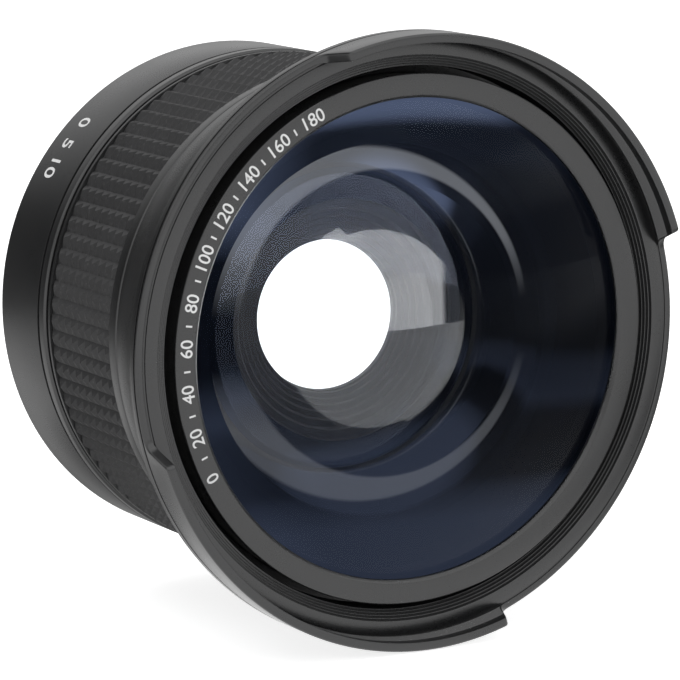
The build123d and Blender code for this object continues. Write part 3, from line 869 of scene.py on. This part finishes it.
def rounded_corner(centre, radius, start, end, points):
    """Arc of a section between two angles in degrees."""
    found = []
    for i in range(points + 1):
        turn = radians(start + (end - start) * i / points)
        found.append((centre[0] + radius * cos(turn), centre[1] + radius * sin(turn)))
    return found


class LENS_OT_hood(bpy.types.Operator):
    """Hood with its shoulder ring, hollow flare, grooved mouth and two petals"""

    bl_idname = "lens.hood"
    bl_label = "Hood"

    def execute(self, context):
        sizes = context.scene.lens_sizes
        face = PETAL_TIP - sizes.petal_height
        hood = draw_section("hood", self.section(sizes, face))
        spin_section(self.stretches(sizes))
        merge_doubles()
        leave_edit()
        self.cut_petals(hood, sizes, face)
        edit(hood)
        close_up(SMOOTH_ANGLE)
        dress(hood, "front_unit", "front_hood", "black_metal")
        return {"FINISHED"}

    def section(self, sizes, face):
        """Whole section, with the wall as high as the petals all the way round."""
        inner_r = HOOD_R - sizes.petal_wall
        shoulder = BARREL_FRONT + SEAM_WIDTH
        flare_start = (SHOULDER_R, shoulder + SHOULDER_LENGTH)
        flare_end = (HOOD_R, face - FLARE_END_DROP)
        flare = []
        for i in range(FLARE_POINTS + 1):
            t = i / FLARE_POINTS
            hollow = FLARE_HOLLOW * 4 * t * (1 - t)
            r = flare_start[0] + (flare_end[0] - flare_start[0]) * t
            place = flare_start[1] + (flare_end[1] - flare_start[1]) * t
            flare.append((r - hollow, place))
        tip_centre = (HOOD_R - TIP_ROUNDING, PETAL_TIP - TIP_ROUNDING)
        tip = rounded_corner(tip_centre, TIP_ROUNDING, 0, 90, TIP_POINTS)
        tip_centre = (inner_r + TIP_INNER_ROUNDING, PETAL_TIP - TIP_INNER_ROUNDING)
        tip += rounded_corner(tip_centre, TIP_INNER_ROUNDING, 90, 180, TIP_INNER_POINTS)
        groove = face - EDGE_GROOVE_DROP
        side = eased_run([
            flare_end,
            (HOOD_R, groove),
            (HOOD_R - EDGE_GROOVE_DEPTH, groove),
            (HOOD_R - EDGE_GROOVE_DEPTH, groove + EDGE_GROOVE_WIDTH),
            (HOOD_R, groove + EDGE_GROOVE_WIDTH),
            tip[0],
        ])
        floor = face - FRONT_FLOOR_DEPTH
        ledge = face - GLASS_LEDGE_DEPTH
        inside = eased_run([
            *self.face_groove(inner_r, face),
            *self.mouth(face),
            (MOUTH_R - MOUTH_STEP * (MOUTH_GROOVES - 1), floor),
            (NAME_BORE_R, floor),
            (NAME_BORE_R, ledge),
            (HOOD_BORE_R, ledge),
            (HOOD_BORE_R, BARREL_FRONT + HOOD_BORE_STEP),
            (SPIGOT_BORE_R, BARREL_FRONT),
            (SPIGOT_BORE_R, SPIGOT_REAR),
            (SPIGOT_R, SPIGOT_REAR),
            (SPIGOT_R, BARREL_FRONT + FIT_GAP),
            (SEAM_R, BARREL_FRONT + FIT_GAP),
            (SEAM_R, shoulder),
            (SHOULDER_R - SHOULDER_CHAMFER, shoulder),
            (SHOULDER_R, shoulder + SHOULDER_CHAMFER),
            flare_start,
        ])
        return flare[:-1] + side[:-1] + tip + self.wall(inner_r, face) + inside[:-1]

    def wall(self, inner_r, face):
        """Ridges on the inside of the petals."""
        top = face + RIDGE_BASE + RIDGE_PITCH * RIDGE_COUNT
        corners = [(inner_r, top)]
        for i in range(RIDGE_COUNT):
            corners.append((inner_r + RIDGE_DEPTH, top - RIDGE_PITCH * (i + 0.5)))
            corners.append((inner_r, top - RIDGE_PITCH * (i + 1)))
        return corners

    def face_groove(self, inner_r, face):
        """Groove at the foot of the petals, which runs on round the face."""
        valley_r = inner_r + RIDGE_DEPTH
        return [
            (valley_r, face + RIDGE_BASE - RIDGE_DEPTH),
            (valley_r, face - FACE_GROOVE_DEPTH),
            (FACE_GROOVE_R, face - FACE_GROOVE_DEPTH),
            (FACE_GROOVE_R, face),
        ]

    def mouth(self, face):
        """Grooved bevel of the mouth, each ridge smaller and deeper than the one before."""
        corners = []
        for i in range(MOUTH_GROOVES):
            r = MOUTH_R - MOUTH_STEP * i
            place = face - MOUTH_FALL * i
            if i:
                corners.append((r + MOUTH_STEP, place - MOUTH_GROOVE_DEPTH))
            corners += [(r + MOUTH_EDGE, place), (r, place - MOUTH_EDGE)]
        return corners

    def stretches(self, sizes):
        """Turns and steps round the hood, from +X, with fine steps where the petals end."""
        marks = []
        for end, side in self.petal_ends(sizes):
            low = end - FINE_SPAN * (FINE_INNER_SHARE if side > 0 else 1 - FINE_INNER_SHARE)
            marks.append((low, low + FINE_SPAN))
        found, here = [], 0.0
        for low, high in [*sorted(marks), (FULL_TURN, FULL_TURN)]:
            steps = round((low - here) / FULL_TURN * sizes.steps)
            found.append((low - here, max(LEAST_STEPS, steps)))
            if high > low:
                found.append((high - low, FINE_STEPS))
            here = high
        return found

    def petal_ends(self, sizes):
        """Angle of each petal's foot, and 1 or -1 for the side on which the petal ends."""
        found = []
        for petal in range(PETALS):
            centre = sizes.petal_centre + FULL_TURN * petal / PETALS
            for side in (1, -1):
                found.append(((centre + side * sizes.petal_span / 2) % FULL_TURN, side))
        return found

    def wall_height(self, turn, sizes):
        """Height of the nearest petal at an angle, nothing where there is none."""
        spacing = FULL_TURN / PETALS
        off = (turn - sizes.petal_centre + spacing / 2) % spacing - spacing / 2
        return self.end_height((abs(off) - sizes.petal_span / 2) * HOOD_R, sizes)

    def end_height(self, past, sizes):
        """Height of a petal, whose slanted end has two fillets, at a distance past its foot."""
        slope = tan(sizes.petal_slant)
        run = tan((pi / 2 - sizes.petal_slant) / 2)
        foot_run = FOOT_FILLET * run
        if past >= foot_run:
            return 0.0
        straight = -past / slope
        if past > -foot_run * sin(sizes.petal_slant):
            fall = FOOT_FILLET**2 - (past - foot_run) ** 2
            return FOOT_FILLET - sqrt(max(fall, 0.0))
        tip_past = -sizes.petal_height * slope
        tip_run = TIP_FILLET * run
        if past < tip_past - tip_run:
            return sizes.petal_height
        if straight > sizes.petal_height - tip_run * cos(sizes.petal_slant):
            fall = TIP_FILLET**2 - (past - (tip_past - tip_run)) ** 2
            return sizes.petal_height - TIP_FILLET + sqrt(max(fall, 0.0))
        return straight

    def cut_petals(self, hood, sizes, face):
        """Lowers the wall to the petals' height at each angle, its rounded edge with it."""
        inner_r = HOOD_R - sizes.petal_wall
        for vertex in hood.data.vertices:
            place = -vertex.co.y
            r = axis_distance(vertex.co)
            if place < face - MERGE_REACH or r < inner_r - MERGE_REACH:
                continue
            turn = atan2(vertex.co.z, vertex.co.x)
            height = self.wall_height(turn, sizes)
            below_tip = PETAL_TIP - place
            relief = RIDGE_DEPTH * (1 - min(height / RIDGE_BASE, 1))
            if below_tip <= TIP_ROUNDING + MERGE_REACH:
                place = face + height - below_tip
                if r < HOOD_R - sizes.petal_wall / 2:
                    r += relief
            else:
                place = min(place, face + height - TIP_INNER_ROUNDING)
                r = max(r, inner_r + relief)
            vertex.co = off_axis(turn, r, place)


# Name ring
NAME_LIP_R = 28.5 * MM
NAME_LIP = 0.9 * MM
NAME_CHAMFER = 0.4 * MM
NAME_EDGE = 0.12 * MM
NAME_FLANGE = 0.75 * MM
NAME_SKIRT_REAR = 39.9 * MM


class LENS_OT_name_ring(bpy.types.Operator):
    """Flat ring round the front glass"""

    bl_idname = "lens.name_ring"
    bl_label = "Name ring"

    def execute(self, context):
        corners = [
            (NAME_LIP_R + NAME_CHAMFER, NAME_FACE),
            (NAME_RING_R - NAME_EDGE, NAME_FACE),
            (NAME_RING_R, NAME_FACE - NAME_EDGE),
            (NAME_RING_R, NAME_FACE - NAME_FLANGE),
            (NAME_BORE_R - FIT_GAP, NAME_FACE - NAME_FLANGE),
            (NAME_BORE_R - FIT_GAP, NAME_SKIRT_REAR),
            (FRONT_GLASS_R + FIT_GAP, NAME_SKIRT_REAR),
            (FRONT_GLASS_R + FIT_GAP, NAME_FACE - NAME_LIP),
            (NAME_LIP_R, NAME_FACE - NAME_LIP),
            (NAME_LIP_R, NAME_FACE - NAME_CHAMFER),
        ]
        ring = lathe("name_ring_face", eased(corners))
        dress(ring, "front_unit", "name_ring", "black_metal")
        return {"FINISHED"}


MARK_RAISE = 0.025 * MM
TICK_WIDTH = 0.22 * MM
TICK_LENGTH = 0.8 * MM
SCALE_TOP = 180
SCALE_STEP = 20
REAR_MARK_CENTRE = radians(140.0)
REAR_MARK_SPACING = radians(6.2)
REAR_MARK_PLACE = 4.2 * MM
REAR_NUMERAL_HEIGHT = 2.3 * MM
REAR_NUMBERS = ("0", "5", "10")
DIGIT_SHARE = 0.7
DIGIT_BOLDNESS_SHARE = 0.012


def numeral(text, height, place):
    """Flat number as a mesh, with its place applied."""
    piece = added(bpy.ops.object.text_add)
    piece.data.body = text
    piece.data.size = height / DIGIT_SHARE
    piece.data.align_x = "CENTER"
    piece.data.align_y = "CENTER"
    piece.data.extrude = MARK_RAISE
    piece.data.offset = height * DIGIT_BOLDNESS_SHARE
    piece.data.resolution_u = 4
    bpy.ops.object.convert(target="MESH")
    piece.matrix_world = place
    bpy.ops.object.transform_apply(location=True, rotation=True, scale=True)
    return piece


def tick(width, length, place):
    """Short bar with its place applied."""
    piece = added(bpy.ops.mesh.primitive_cube_add, size=1.0)
    piece.scale = (width, length, 2 * MARK_RAISE)
    bpy.ops.object.transform_apply(location=False, rotation=False, scale=True)
    piece.matrix_world = place
    bpy.ops.object.transform_apply(location=True, rotation=True, scale=True)
    return piece


def join_marks(marks, name, body):
    """Joins marks to one white piece that rides on a body."""
    bpy.ops.object.select_all(action="DESELECT")
    for mark in marks:
        mark.select_set(True)
    bpy.context.view_layer.objects.active = marks[0]
    bpy.ops.object.join()
    piece = named(marks[0], name)
    give_finishes(piece, "mark_paint")
    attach(piece, body)


def face_place(turn, r, place):
    """Frame on the name ring at an angle: reading clockwise, with the top outwards."""
    along = Vector((sin(turn), 0.0, -cos(turn)))
    return placed(along, Vector((cos(turn), 0.0, sin(turn))), off_axis(turn, r, place))


def side_place(turn, r, place):
    """Frame on a ring's side at an angle: reading anticlockwise, with the top forward."""
    along = Vector((-sin(turn), 0.0, cos(turn)))
    return placed(along, Vector((0.0, -1.0, 0.0)), off_axis(turn, r, place))


def placed(along, up, spot):
    """Matrix that lays X along one direction and Y along another, at a spot."""
    facing = along.cross(up)
    matrix = Matrix((along, up, facing)).transposed().to_4x4()
    matrix.translation = spot
    return matrix


class LENS_OT_ring_scale(bpy.types.Operator):
    """White numbers and ticks on the name ring"""

    bl_idname = "lens.ring_scale"
    bl_label = "Ring scale"

    def execute(self, context):
        sizes = context.scene.lens_sizes
        numbers = range(0, SCALE_TOP + 1, SCALE_STEP)
        step = (sizes.scale_end - sizes.scale_start) / (len(numbers) - 1)
        marks = []
        for i, number in enumerate(numbers):
            turn = sizes.scale_start + step * i
            spot = face_place(turn, sizes.scale_r, NAME_FACE)
            marks.append(numeral(str(number), sizes.numeral_height, spot))
            if i:
                spot = face_place(turn - step / 2, sizes.scale_r, NAME_FACE)
                marks.append(tick(TICK_WIDTH, TICK_LENGTH, spot))
        join_marks(marks, "ring_scale", "front_unit")
        return {"FINISHED"}


class LENS_OT_rear_marks(bpy.types.Operator):
    """White numbers on the rear ring"""

    bl_idname = "lens.rear_marks"
    bl_label = "Rear marks"

    def execute(self, context):
        marks = []
        middle = (len(REAR_NUMBERS) - 1) / 2
        for i, number in enumerate(REAR_NUMBERS):
            turn = REAR_MARK_CENTRE + REAR_MARK_SPACING * (i - middle)
            spot = side_place(turn, REAR_RING_R, REAR_MARK_PLACE)
            marks.append(numeral(number, REAR_NUMERAL_HEIGHT, spot))
        join_marks(marks, "rear_marks", "closeup_unit")
        return {"FINISHED"}


# Glass
DOME_EDGE = 45.76 * MM
GLASS_SHOULDER = 40.16 * MM
GLASS_SHOULDER_R = 27.0 * MM
BOWL_RIM_R = 22.6 * MM
SECOND_FRONT_RADIUS = 160.0 * MM
SECOND_FRONT_R = 20.3 * MM
SECOND_REAR_RADIUS = 59.0 * MM
SECOND_REAR_R = 18.15 * MM
THIRD_FRONT_RADIUS = 128.0 * MM
THIRD_REAR_RADIUS = 264.0 * MM
MACRO_FRONT_RADIUS = 58.0 * MM
MACRO_REAR_RADIUS = 107.0 * MM
GLASS_RINGS = 40


def sag(radius, r):
    """Depth of a ball of this radius over a disc of radius r."""
    return radius - sqrt(radius**2 - r**2)


def polished(radius, edge_r, edge, side):
    """Section of a ground surface, from the axis to its edge; side 1 bulges forward, -1 rearward."""
    points = []
    for i in range(GLASS_RINGS + 1):
        r = edge_r * i / GLASS_RINGS
        points.append((r, edge + side * (sag(radius, edge_r) - sag(radius, r))))
    return points


def paint_edges(piece, is_painted, is_front):
    """Gives each face of a glass piece its finish, by tests of its middle's (r, place)."""
    for face in piece.data.polygons:
        spot = (axis_distance(face.center), -face.center.y)
        if is_painted(*spot):
            face.material_index = 1
        else:
            face.material_index = 0 if is_front(*spot) else 2


class LENS_OT_glass(bpy.types.Operator):
    """The four glass elements, ground smooth, with blackened edges"""

    bl_idname = "lens.glass"
    bl_label = "Glass"

    def execute(self, context):
        sizes = context.scene.lens_sizes
        self.front(sizes)
        self.second()
        self.thin("third_glass", "third_element", "glass_stack", THIRD_R, THIRD_REAR, THIRD_FRONT,
                  THIRD_FRONT_RADIUS, THIRD_REAR_RADIUS)
        self.thin("closeup_glass", "macro_element", "closeup_unit", MACRO_R, MACRO_REAR, MACRO_FRONT,
                  MACRO_FRONT_RADIUS, MACRO_REAR_RADIUS)
        return {"FINISHED"}

    def finish_glass(self, name, corners, node, body, is_painted, is_front=lambda r, place: False,
                     rest="inner_glass"):
        """Turns a glass piece from its section and gives its faces their finishes."""
        glass = lathe(name, corners, GLASS_SMOOTH_ANGLE)
        dress(glass, body, node, "coated_glass", "edge_paint", rest)
        paint_edges(glass, is_painted, is_front)

    def front(self, sizes):
        """Thick dome with a deep bowl behind."""
        dome = polished(sizes.dome_radius, FRONT_GLASS_R, DOME_EDGE, 1)
        edge = [
            (FRONT_GLASS_R, GLASS_SHOULDER),
            (GLASS_SHOULDER_R, GLASS_SHOULDER),
            (BOWL_RIM_R, BOWL_RIM),
        ]
        bowl = polished(sizes.bowl_radius, sizes.bowl_r, BOWL_RIM, 1)
        self.finish_glass("front_glass", dome + edge + bowl[::-1], "front_element", "glass_stack",
                          lambda r, place: place < DOME_EDGE and r > sizes.bowl_r,
                          lambda r, place: place > DOME_EDGE, "bare_glass")

    def second(self):
        """Thick element, hollow on both faces."""
        front = polished(SECOND_FRONT_RADIUS, SECOND_FRONT_R, SECOND_FRONT, -1)
        edge = [(SECOND_R, SECOND_FRONT), (SECOND_R, SECOND_REAR)]
        rear = polished(SECOND_REAR_RADIUS, SECOND_REAR_R, SECOND_REAR, 1)
        self.finish_glass("second_glass", front + edge + rear[::-1], "second_element", "glass_stack",
                          lambda r, place: r > SECOND_FRONT_R or
                          (r > SECOND_REAR_R and place < SECOND_REAR + FIT_GAP))

    def thin(self, name, node, body, outer_r, rear_end, front_end, front_radius, rear_radius):
        """Element that bulges both ways."""
        front = polished(front_radius, outer_r, front_end - sag(front_radius, outer_r), 1)
        rear = polished(rear_radius, outer_r, rear_end + sag(rear_radius, outer_r), -1)
        self.finish_glass(name, front + rear[::-1], node, body,
                          lambda r, place: r > outer_r - FIT_GAP / 2)


INNER_FINISHES = {
    "inner_black": (
        "coupling_ring", "macro_retaining_ring", "third_retaining_ring", "front_spacer", "light_baffle",
        "lens_cell",
    ),
    "gasket_rubber": ("macro_gasket", "front_gasket", "seat_gasket"),
    "brass_shim": ("cell_shim",),
    "screw_steel": ("coupling_screws", "hood_screws"),
}


class LENS_OT_inner_pieces(bpy.types.Operator):
    """Finishes of the frame's pieces that stay as they are"""

    bl_idname = "lens.inner_pieces"
    bl_label = "Inner pieces"

    def execute(self, context):
        for name, nodes in INNER_FINISHES.items():
            for node in nodes:
                give_finishes(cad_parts[node], name)
        return {"FINISHED"}


FLOOR_SIZE = 3.0
FLOOR_GLOW = 0.75
LAMPS = {
    # name: (place, aim, size, power in watts)
    "top_lamp": ((-0.25, 0.10, 0.95), (0.0, -0.02, 0.0), (0.9, 0.9), 4.0),
    "front_lamp": ((0.55, -1.05, 0.35), (0.0, -0.04, 0.0), (0.8, 0.8), 3.0),
}
# Levels of the surroundings, where 1 is the white of the background
FRONT_BANDS = (
    # height of the direction, level
    (0.0, 1.4), (0.12, 1.2), (0.17, 1.0), (0.24, 1.0), (0.28, 0.4), (0.33, 0.4), (0.38, 1.6), (1.0, 1.6),
)
DARK_LEVEL = 0.06
SKY_LEVEL = 0.95
BACK_LEVEL = 1.2
WALL_LEVEL = 5.2
WALL_DARK = 0.2
DIFFUSE_LEVEL = 0.55
FLOOR_NEAR_LEVEL = 1.4
FLOOR_FAR_LEVEL = 0.1
FLOOR_SIDE_SHARE = 0.15
FLOOR_SHADE = 0.8
FLOOR_UNDER_SHADE = 0.65
FLOOR_THROUGH_LEVEL = 1.7
FLOOR_MIRROR_SHADE = 0.6
FRONT_MIRROR_SHADE = 0.75
# Where those levels change: stops on the floor in metres, and stops of a direction's X, Y or Z
FLOOR_NEAR_Y = (-0.03, 0.22)
FLOOR_SIDE_X = (0.04, 0.10)
FLOOR_SIDE_Y = (-0.20, -0.12)
FLOOR_SHADE_X = (-0.05, -0.01)
FLOOR_SHADE_Y = (-0.02, 0.03)
FLOOR_UNDER_CENTRE = (-0.032, 0.002)
FLOOR_UNDER_EDGE = (0.010, 0.034)
AHEAD_Y = (-0.15, 0.10)
BEHIND_Z = (0.03, 0.50)
BEHIND_LEAN = 0.5
FRONT_MIRROR_Z = (0.10, 0.17)
WALL_LEFT_X = (-0.42, -0.36)
WALL_RIGHT_X = (0.83, 0.88)
WALL_LEAN = 0.6


class LENS_OT_studio(bpy.types.Operator):
    """Floor, lamps, white surroundings and camera"""

    bl_idname = "lens.studio"
    bl_label = "Studio"

    def execute(self, context):
        settings = context.scene.lens_studio
        self.floor(settings)
        self.world(context.scene)
        for name, (place, aim, extent, power) in LAMPS.items():
            self.lamp(name, Vector(place), Vector(aim), extent, power)
        self.camera(context.scene, settings)
        return {"FINISHED"}

    def floor(self, settings):
        """Pale floor just under the hood, which keeps the lens's shadow; to reflections it glows, with
        painted shadows.
        """
        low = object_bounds()[0].z - settings.floor_gap
        floor = added(bpy.ops.mesh.primitive_plane_add, size=FLOOR_SIZE, location=(0, 0, low))
        floor.name = "floor"
        recipe = new_material("pale_floor")
        pale = recipe.blend(recipe.noise(40.0, 3.0), grey(0.88), grey(0.92))
        lit = recipe.node("ShaderNodeBsdfDiffuse", inputs={"Color": pale})
        both = recipe.node("ShaderNodeAddShader", inputs={0: lit, 1: self.glow(recipe, FLOOR_GLOW)})
        camera_ray, glossy_ray, through_ray, mirror_ray = self.rays(recipe)
        x, y, _ = recipe.parts("Object")
        # To reflections the floor glows, with painted shadows beside the lens, under it and behind it, and
        # darker in polished surfaces.
        beside = recipe.rise(x, FLOOR_SIDE_X) * recipe.rise(y, FLOOR_SIDE_Y)
        beside = 1.0 - beside * (1.0 - FLOOR_SIDE_SHARE)
        off = recipe.off_centre(x, y, FLOOR_UNDER_CENTRE)
        under = recipe.ramp(off, FLOOR_UNDER_SHADE, 0.0, *FLOOR_UNDER_EDGE)
        shade = recipe.ramp(y, 0.0, FLOOR_SHADE, *FLOOR_SHADE_Y)
        shade = shade * recipe.rise(x, FLOOR_SHADE_X)
        near = recipe.fall(y, FLOOR_NEAR_Y) * beside * (1.0 - shade) * (1.0 - under)
        near = near * (1.0 - mirror_ray * FLOOR_MIRROR_SHADE)
        dark, white = self.glow(recipe, FLOOR_FAR_LEVEL), self.glow(recipe, FLOOR_NEAR_LEVEL)
        mixed = recipe.mix(camera_ray, lit, both)
        mixed = recipe.mix(glossy_ray, mixed, recipe.mix(near, dark, white))
        mixed = recipe.mix(through_ray, mixed, self.glow(recipe, FLOOR_THROUGH_LEVEL))
        recipe.feed(recipe.output.inputs["Surface"], mixed)
        floor.data.materials.append(recipe.owner)
        floor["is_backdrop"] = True

    def glow(self, recipe, strength):
        """Plain white emission."""
        return recipe.node("ShaderNodeEmission", inputs={"Color": grey(1.0), "Strength": strength})

    def rays(self, recipe):
        """Whether a ray is the camera's, glossy, out of glass, or off a polished surface."""
        path = recipe.tree.nodes.new("ShaderNodeLightPath")
        kinds = ("Is Camera Ray", "Is Glossy Ray", "Is Transmission Ray", "Is Singular Ray")
        return [Value(recipe, path.outputs[kind]) for kind in kinds]

    def world(self, scene):
        """White to the camera, bands ahead and a dark horizon behind to gloss, a wall ahead to glass."""
        scene.world = bpy.data.worlds.new("studio_white")
        recipe = Recipe(scene.world, "ShaderNodeOutputWorld")
        camera_ray, glossy_ray, through_ray, mirror_ray = self.rays(recipe)
        x, y, z = recipe.parts("Generated")
        ahead = recipe.fall(y, AHEAD_Y)
        behind = recipe.ramp(z + x * BEHIND_LEAN, DARK_LEVEL, SKY_LEVEL, *BEHIND_Z)
        front = recipe.bands(z, FRONT_BANDS)
        front = front * (1.0 - mirror_ray * recipe.ramp(z, FRONT_MIRROR_SHADE, 0.0, *FRONT_MIRROR_Z))
        gloss = behind + ahead * (front - behind)
        wall = recipe.rise(x, WALL_LEFT_X) * recipe.fall(x, WALL_RIGHT_X)
        wall = wall * (WALL_LEVEL - WALL_DARK) + WALL_DARK
        over = recipe.fall(y - z * WALL_LEAN, AHEAD_Y)
        glass = over * (wall - BACK_LEVEL) + BACK_LEVEL
        level = glossy_ray * (gloss - DIFFUSE_LEVEL) + DIFFUSE_LEVEL
        level = through_ray * (glass - level) + level
        level = camera_ray * (1.0 - level) + level
        glow = recipe.node("ShaderNodeBackground", inputs={"Color": grey(1.0), "Strength": level})
        recipe.feed(recipe.output.inputs["Surface"], glow)

    def lamp(self, name, place, aim, extent, power):
        """Soft rectangular lamp."""
        turned = (aim - place).to_track_quat("-Z", "Y").to_euler()
        lamp = added(bpy.ops.object.light_add, type="AREA", location=place, rotation=turned)
        lamp.name = name
        lamp.data.shape = "RECTANGLE"
        lamp.data.size, lamp.data.size_y = extent
        lamp.data.energy = power
        lamp.visible_camera = False
        lamp.visible_glossy = False

    def camera(self, scene, settings):
        """Camera at the photograph's angle."""
        flat = settings.distance * cos(settings.elevation)
        place = (
            -flat * sin(settings.azimuth),
            -NAME_FACE - flat * cos(settings.azimuth),
            settings.distance * sin(settings.elevation),
        )
        turned = (pi / 2 - settings.dip, 0.0, -settings.heading)
        camera = added(bpy.ops.object.camera_add, location=place, rotation=turned)
        camera.name = "camera"
        camera.data.sensor_width = 36.0
        camera.data.lens = settings.focal_mm
        camera.data.clip_start = 0.01
        camera.data.clip_end = 20.0
        scene.camera = camera
        scene.view_settings.view_transform = "Standard"


PIECE_OPERATORS = (
    LENS_OT_rear_ring,
    LENS_OT_barrel,
    LENS_OT_grip,
    LENS_OT_hood,
    LENS_OT_name_ring,
    LENS_OT_ring_scale,
    LENS_OT_rear_marks,
    LENS_OT_glass,
    LENS_OT_inner_pieces,
)


class LENS_PT_pieces(bpy.types.Panel):
    """Lists the pieces and the studio"""

    bl_idname = "LENS_PT_pieces"
    bl_label = "Converter lens"
    bl_space_type = "VIEW_3D"
    bl_region_type = "UI"
    bl_category = "Lens"

    def draw(self, context):
        for operator in (*PIECE_OPERATORS, LENS_OT_studio):
            self.layout.operator(operator.bl_idname)
        for group in (context.scene.lens_sizes, context.scene.lens_colours, context.scene.lens_studio):
            box = self.layout.box()
            for name in group.bl_rna.properties.keys():
                if name not in ("rna_type", "name"):
                    box.prop(group, name)


CLASSES = (LensSizes, LensColours, StudioSettings, *PIECE_OPERATORS, LENS_OT_studio, LENS_PT_pieces)


def register():
    for made in CLASSES:
        bpy.utils.register_class(made)
    bpy.types.Scene.lens_sizes = PointerProperty(type=LensSizes)
    bpy.types.Scene.lens_colours = PointerProperty(type=LensColours)
    bpy.types.Scene.lens_studio = PointerProperty(type=StudioSettings)


def unregister():
    del bpy.types.Scene.lens_studio
    del bpy.types.Scene.lens_colours
    del bpy.types.Scene.lens_sizes
    for made in reversed(CLASSES):
        bpy.utils.unregister_class(made)


def main():
    """Models every piece and the studio."""
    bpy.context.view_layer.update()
    register()
    bpy.ops.lens.rear_ring()
    bpy.ops.lens.barrel()
    bpy.ops.lens.grip()
    bpy.ops.lens.hood()
    bpy.ops.lens.name_ring()
    bpy.ops.lens.ring_scale()
    bpy.ops.lens.rear_marks()
    bpy.ops.lens.glass()
    bpy.ops.lens.inner_pieces()
    bpy.ops.lens.studio()


if __name__ == "__main__":
    main()
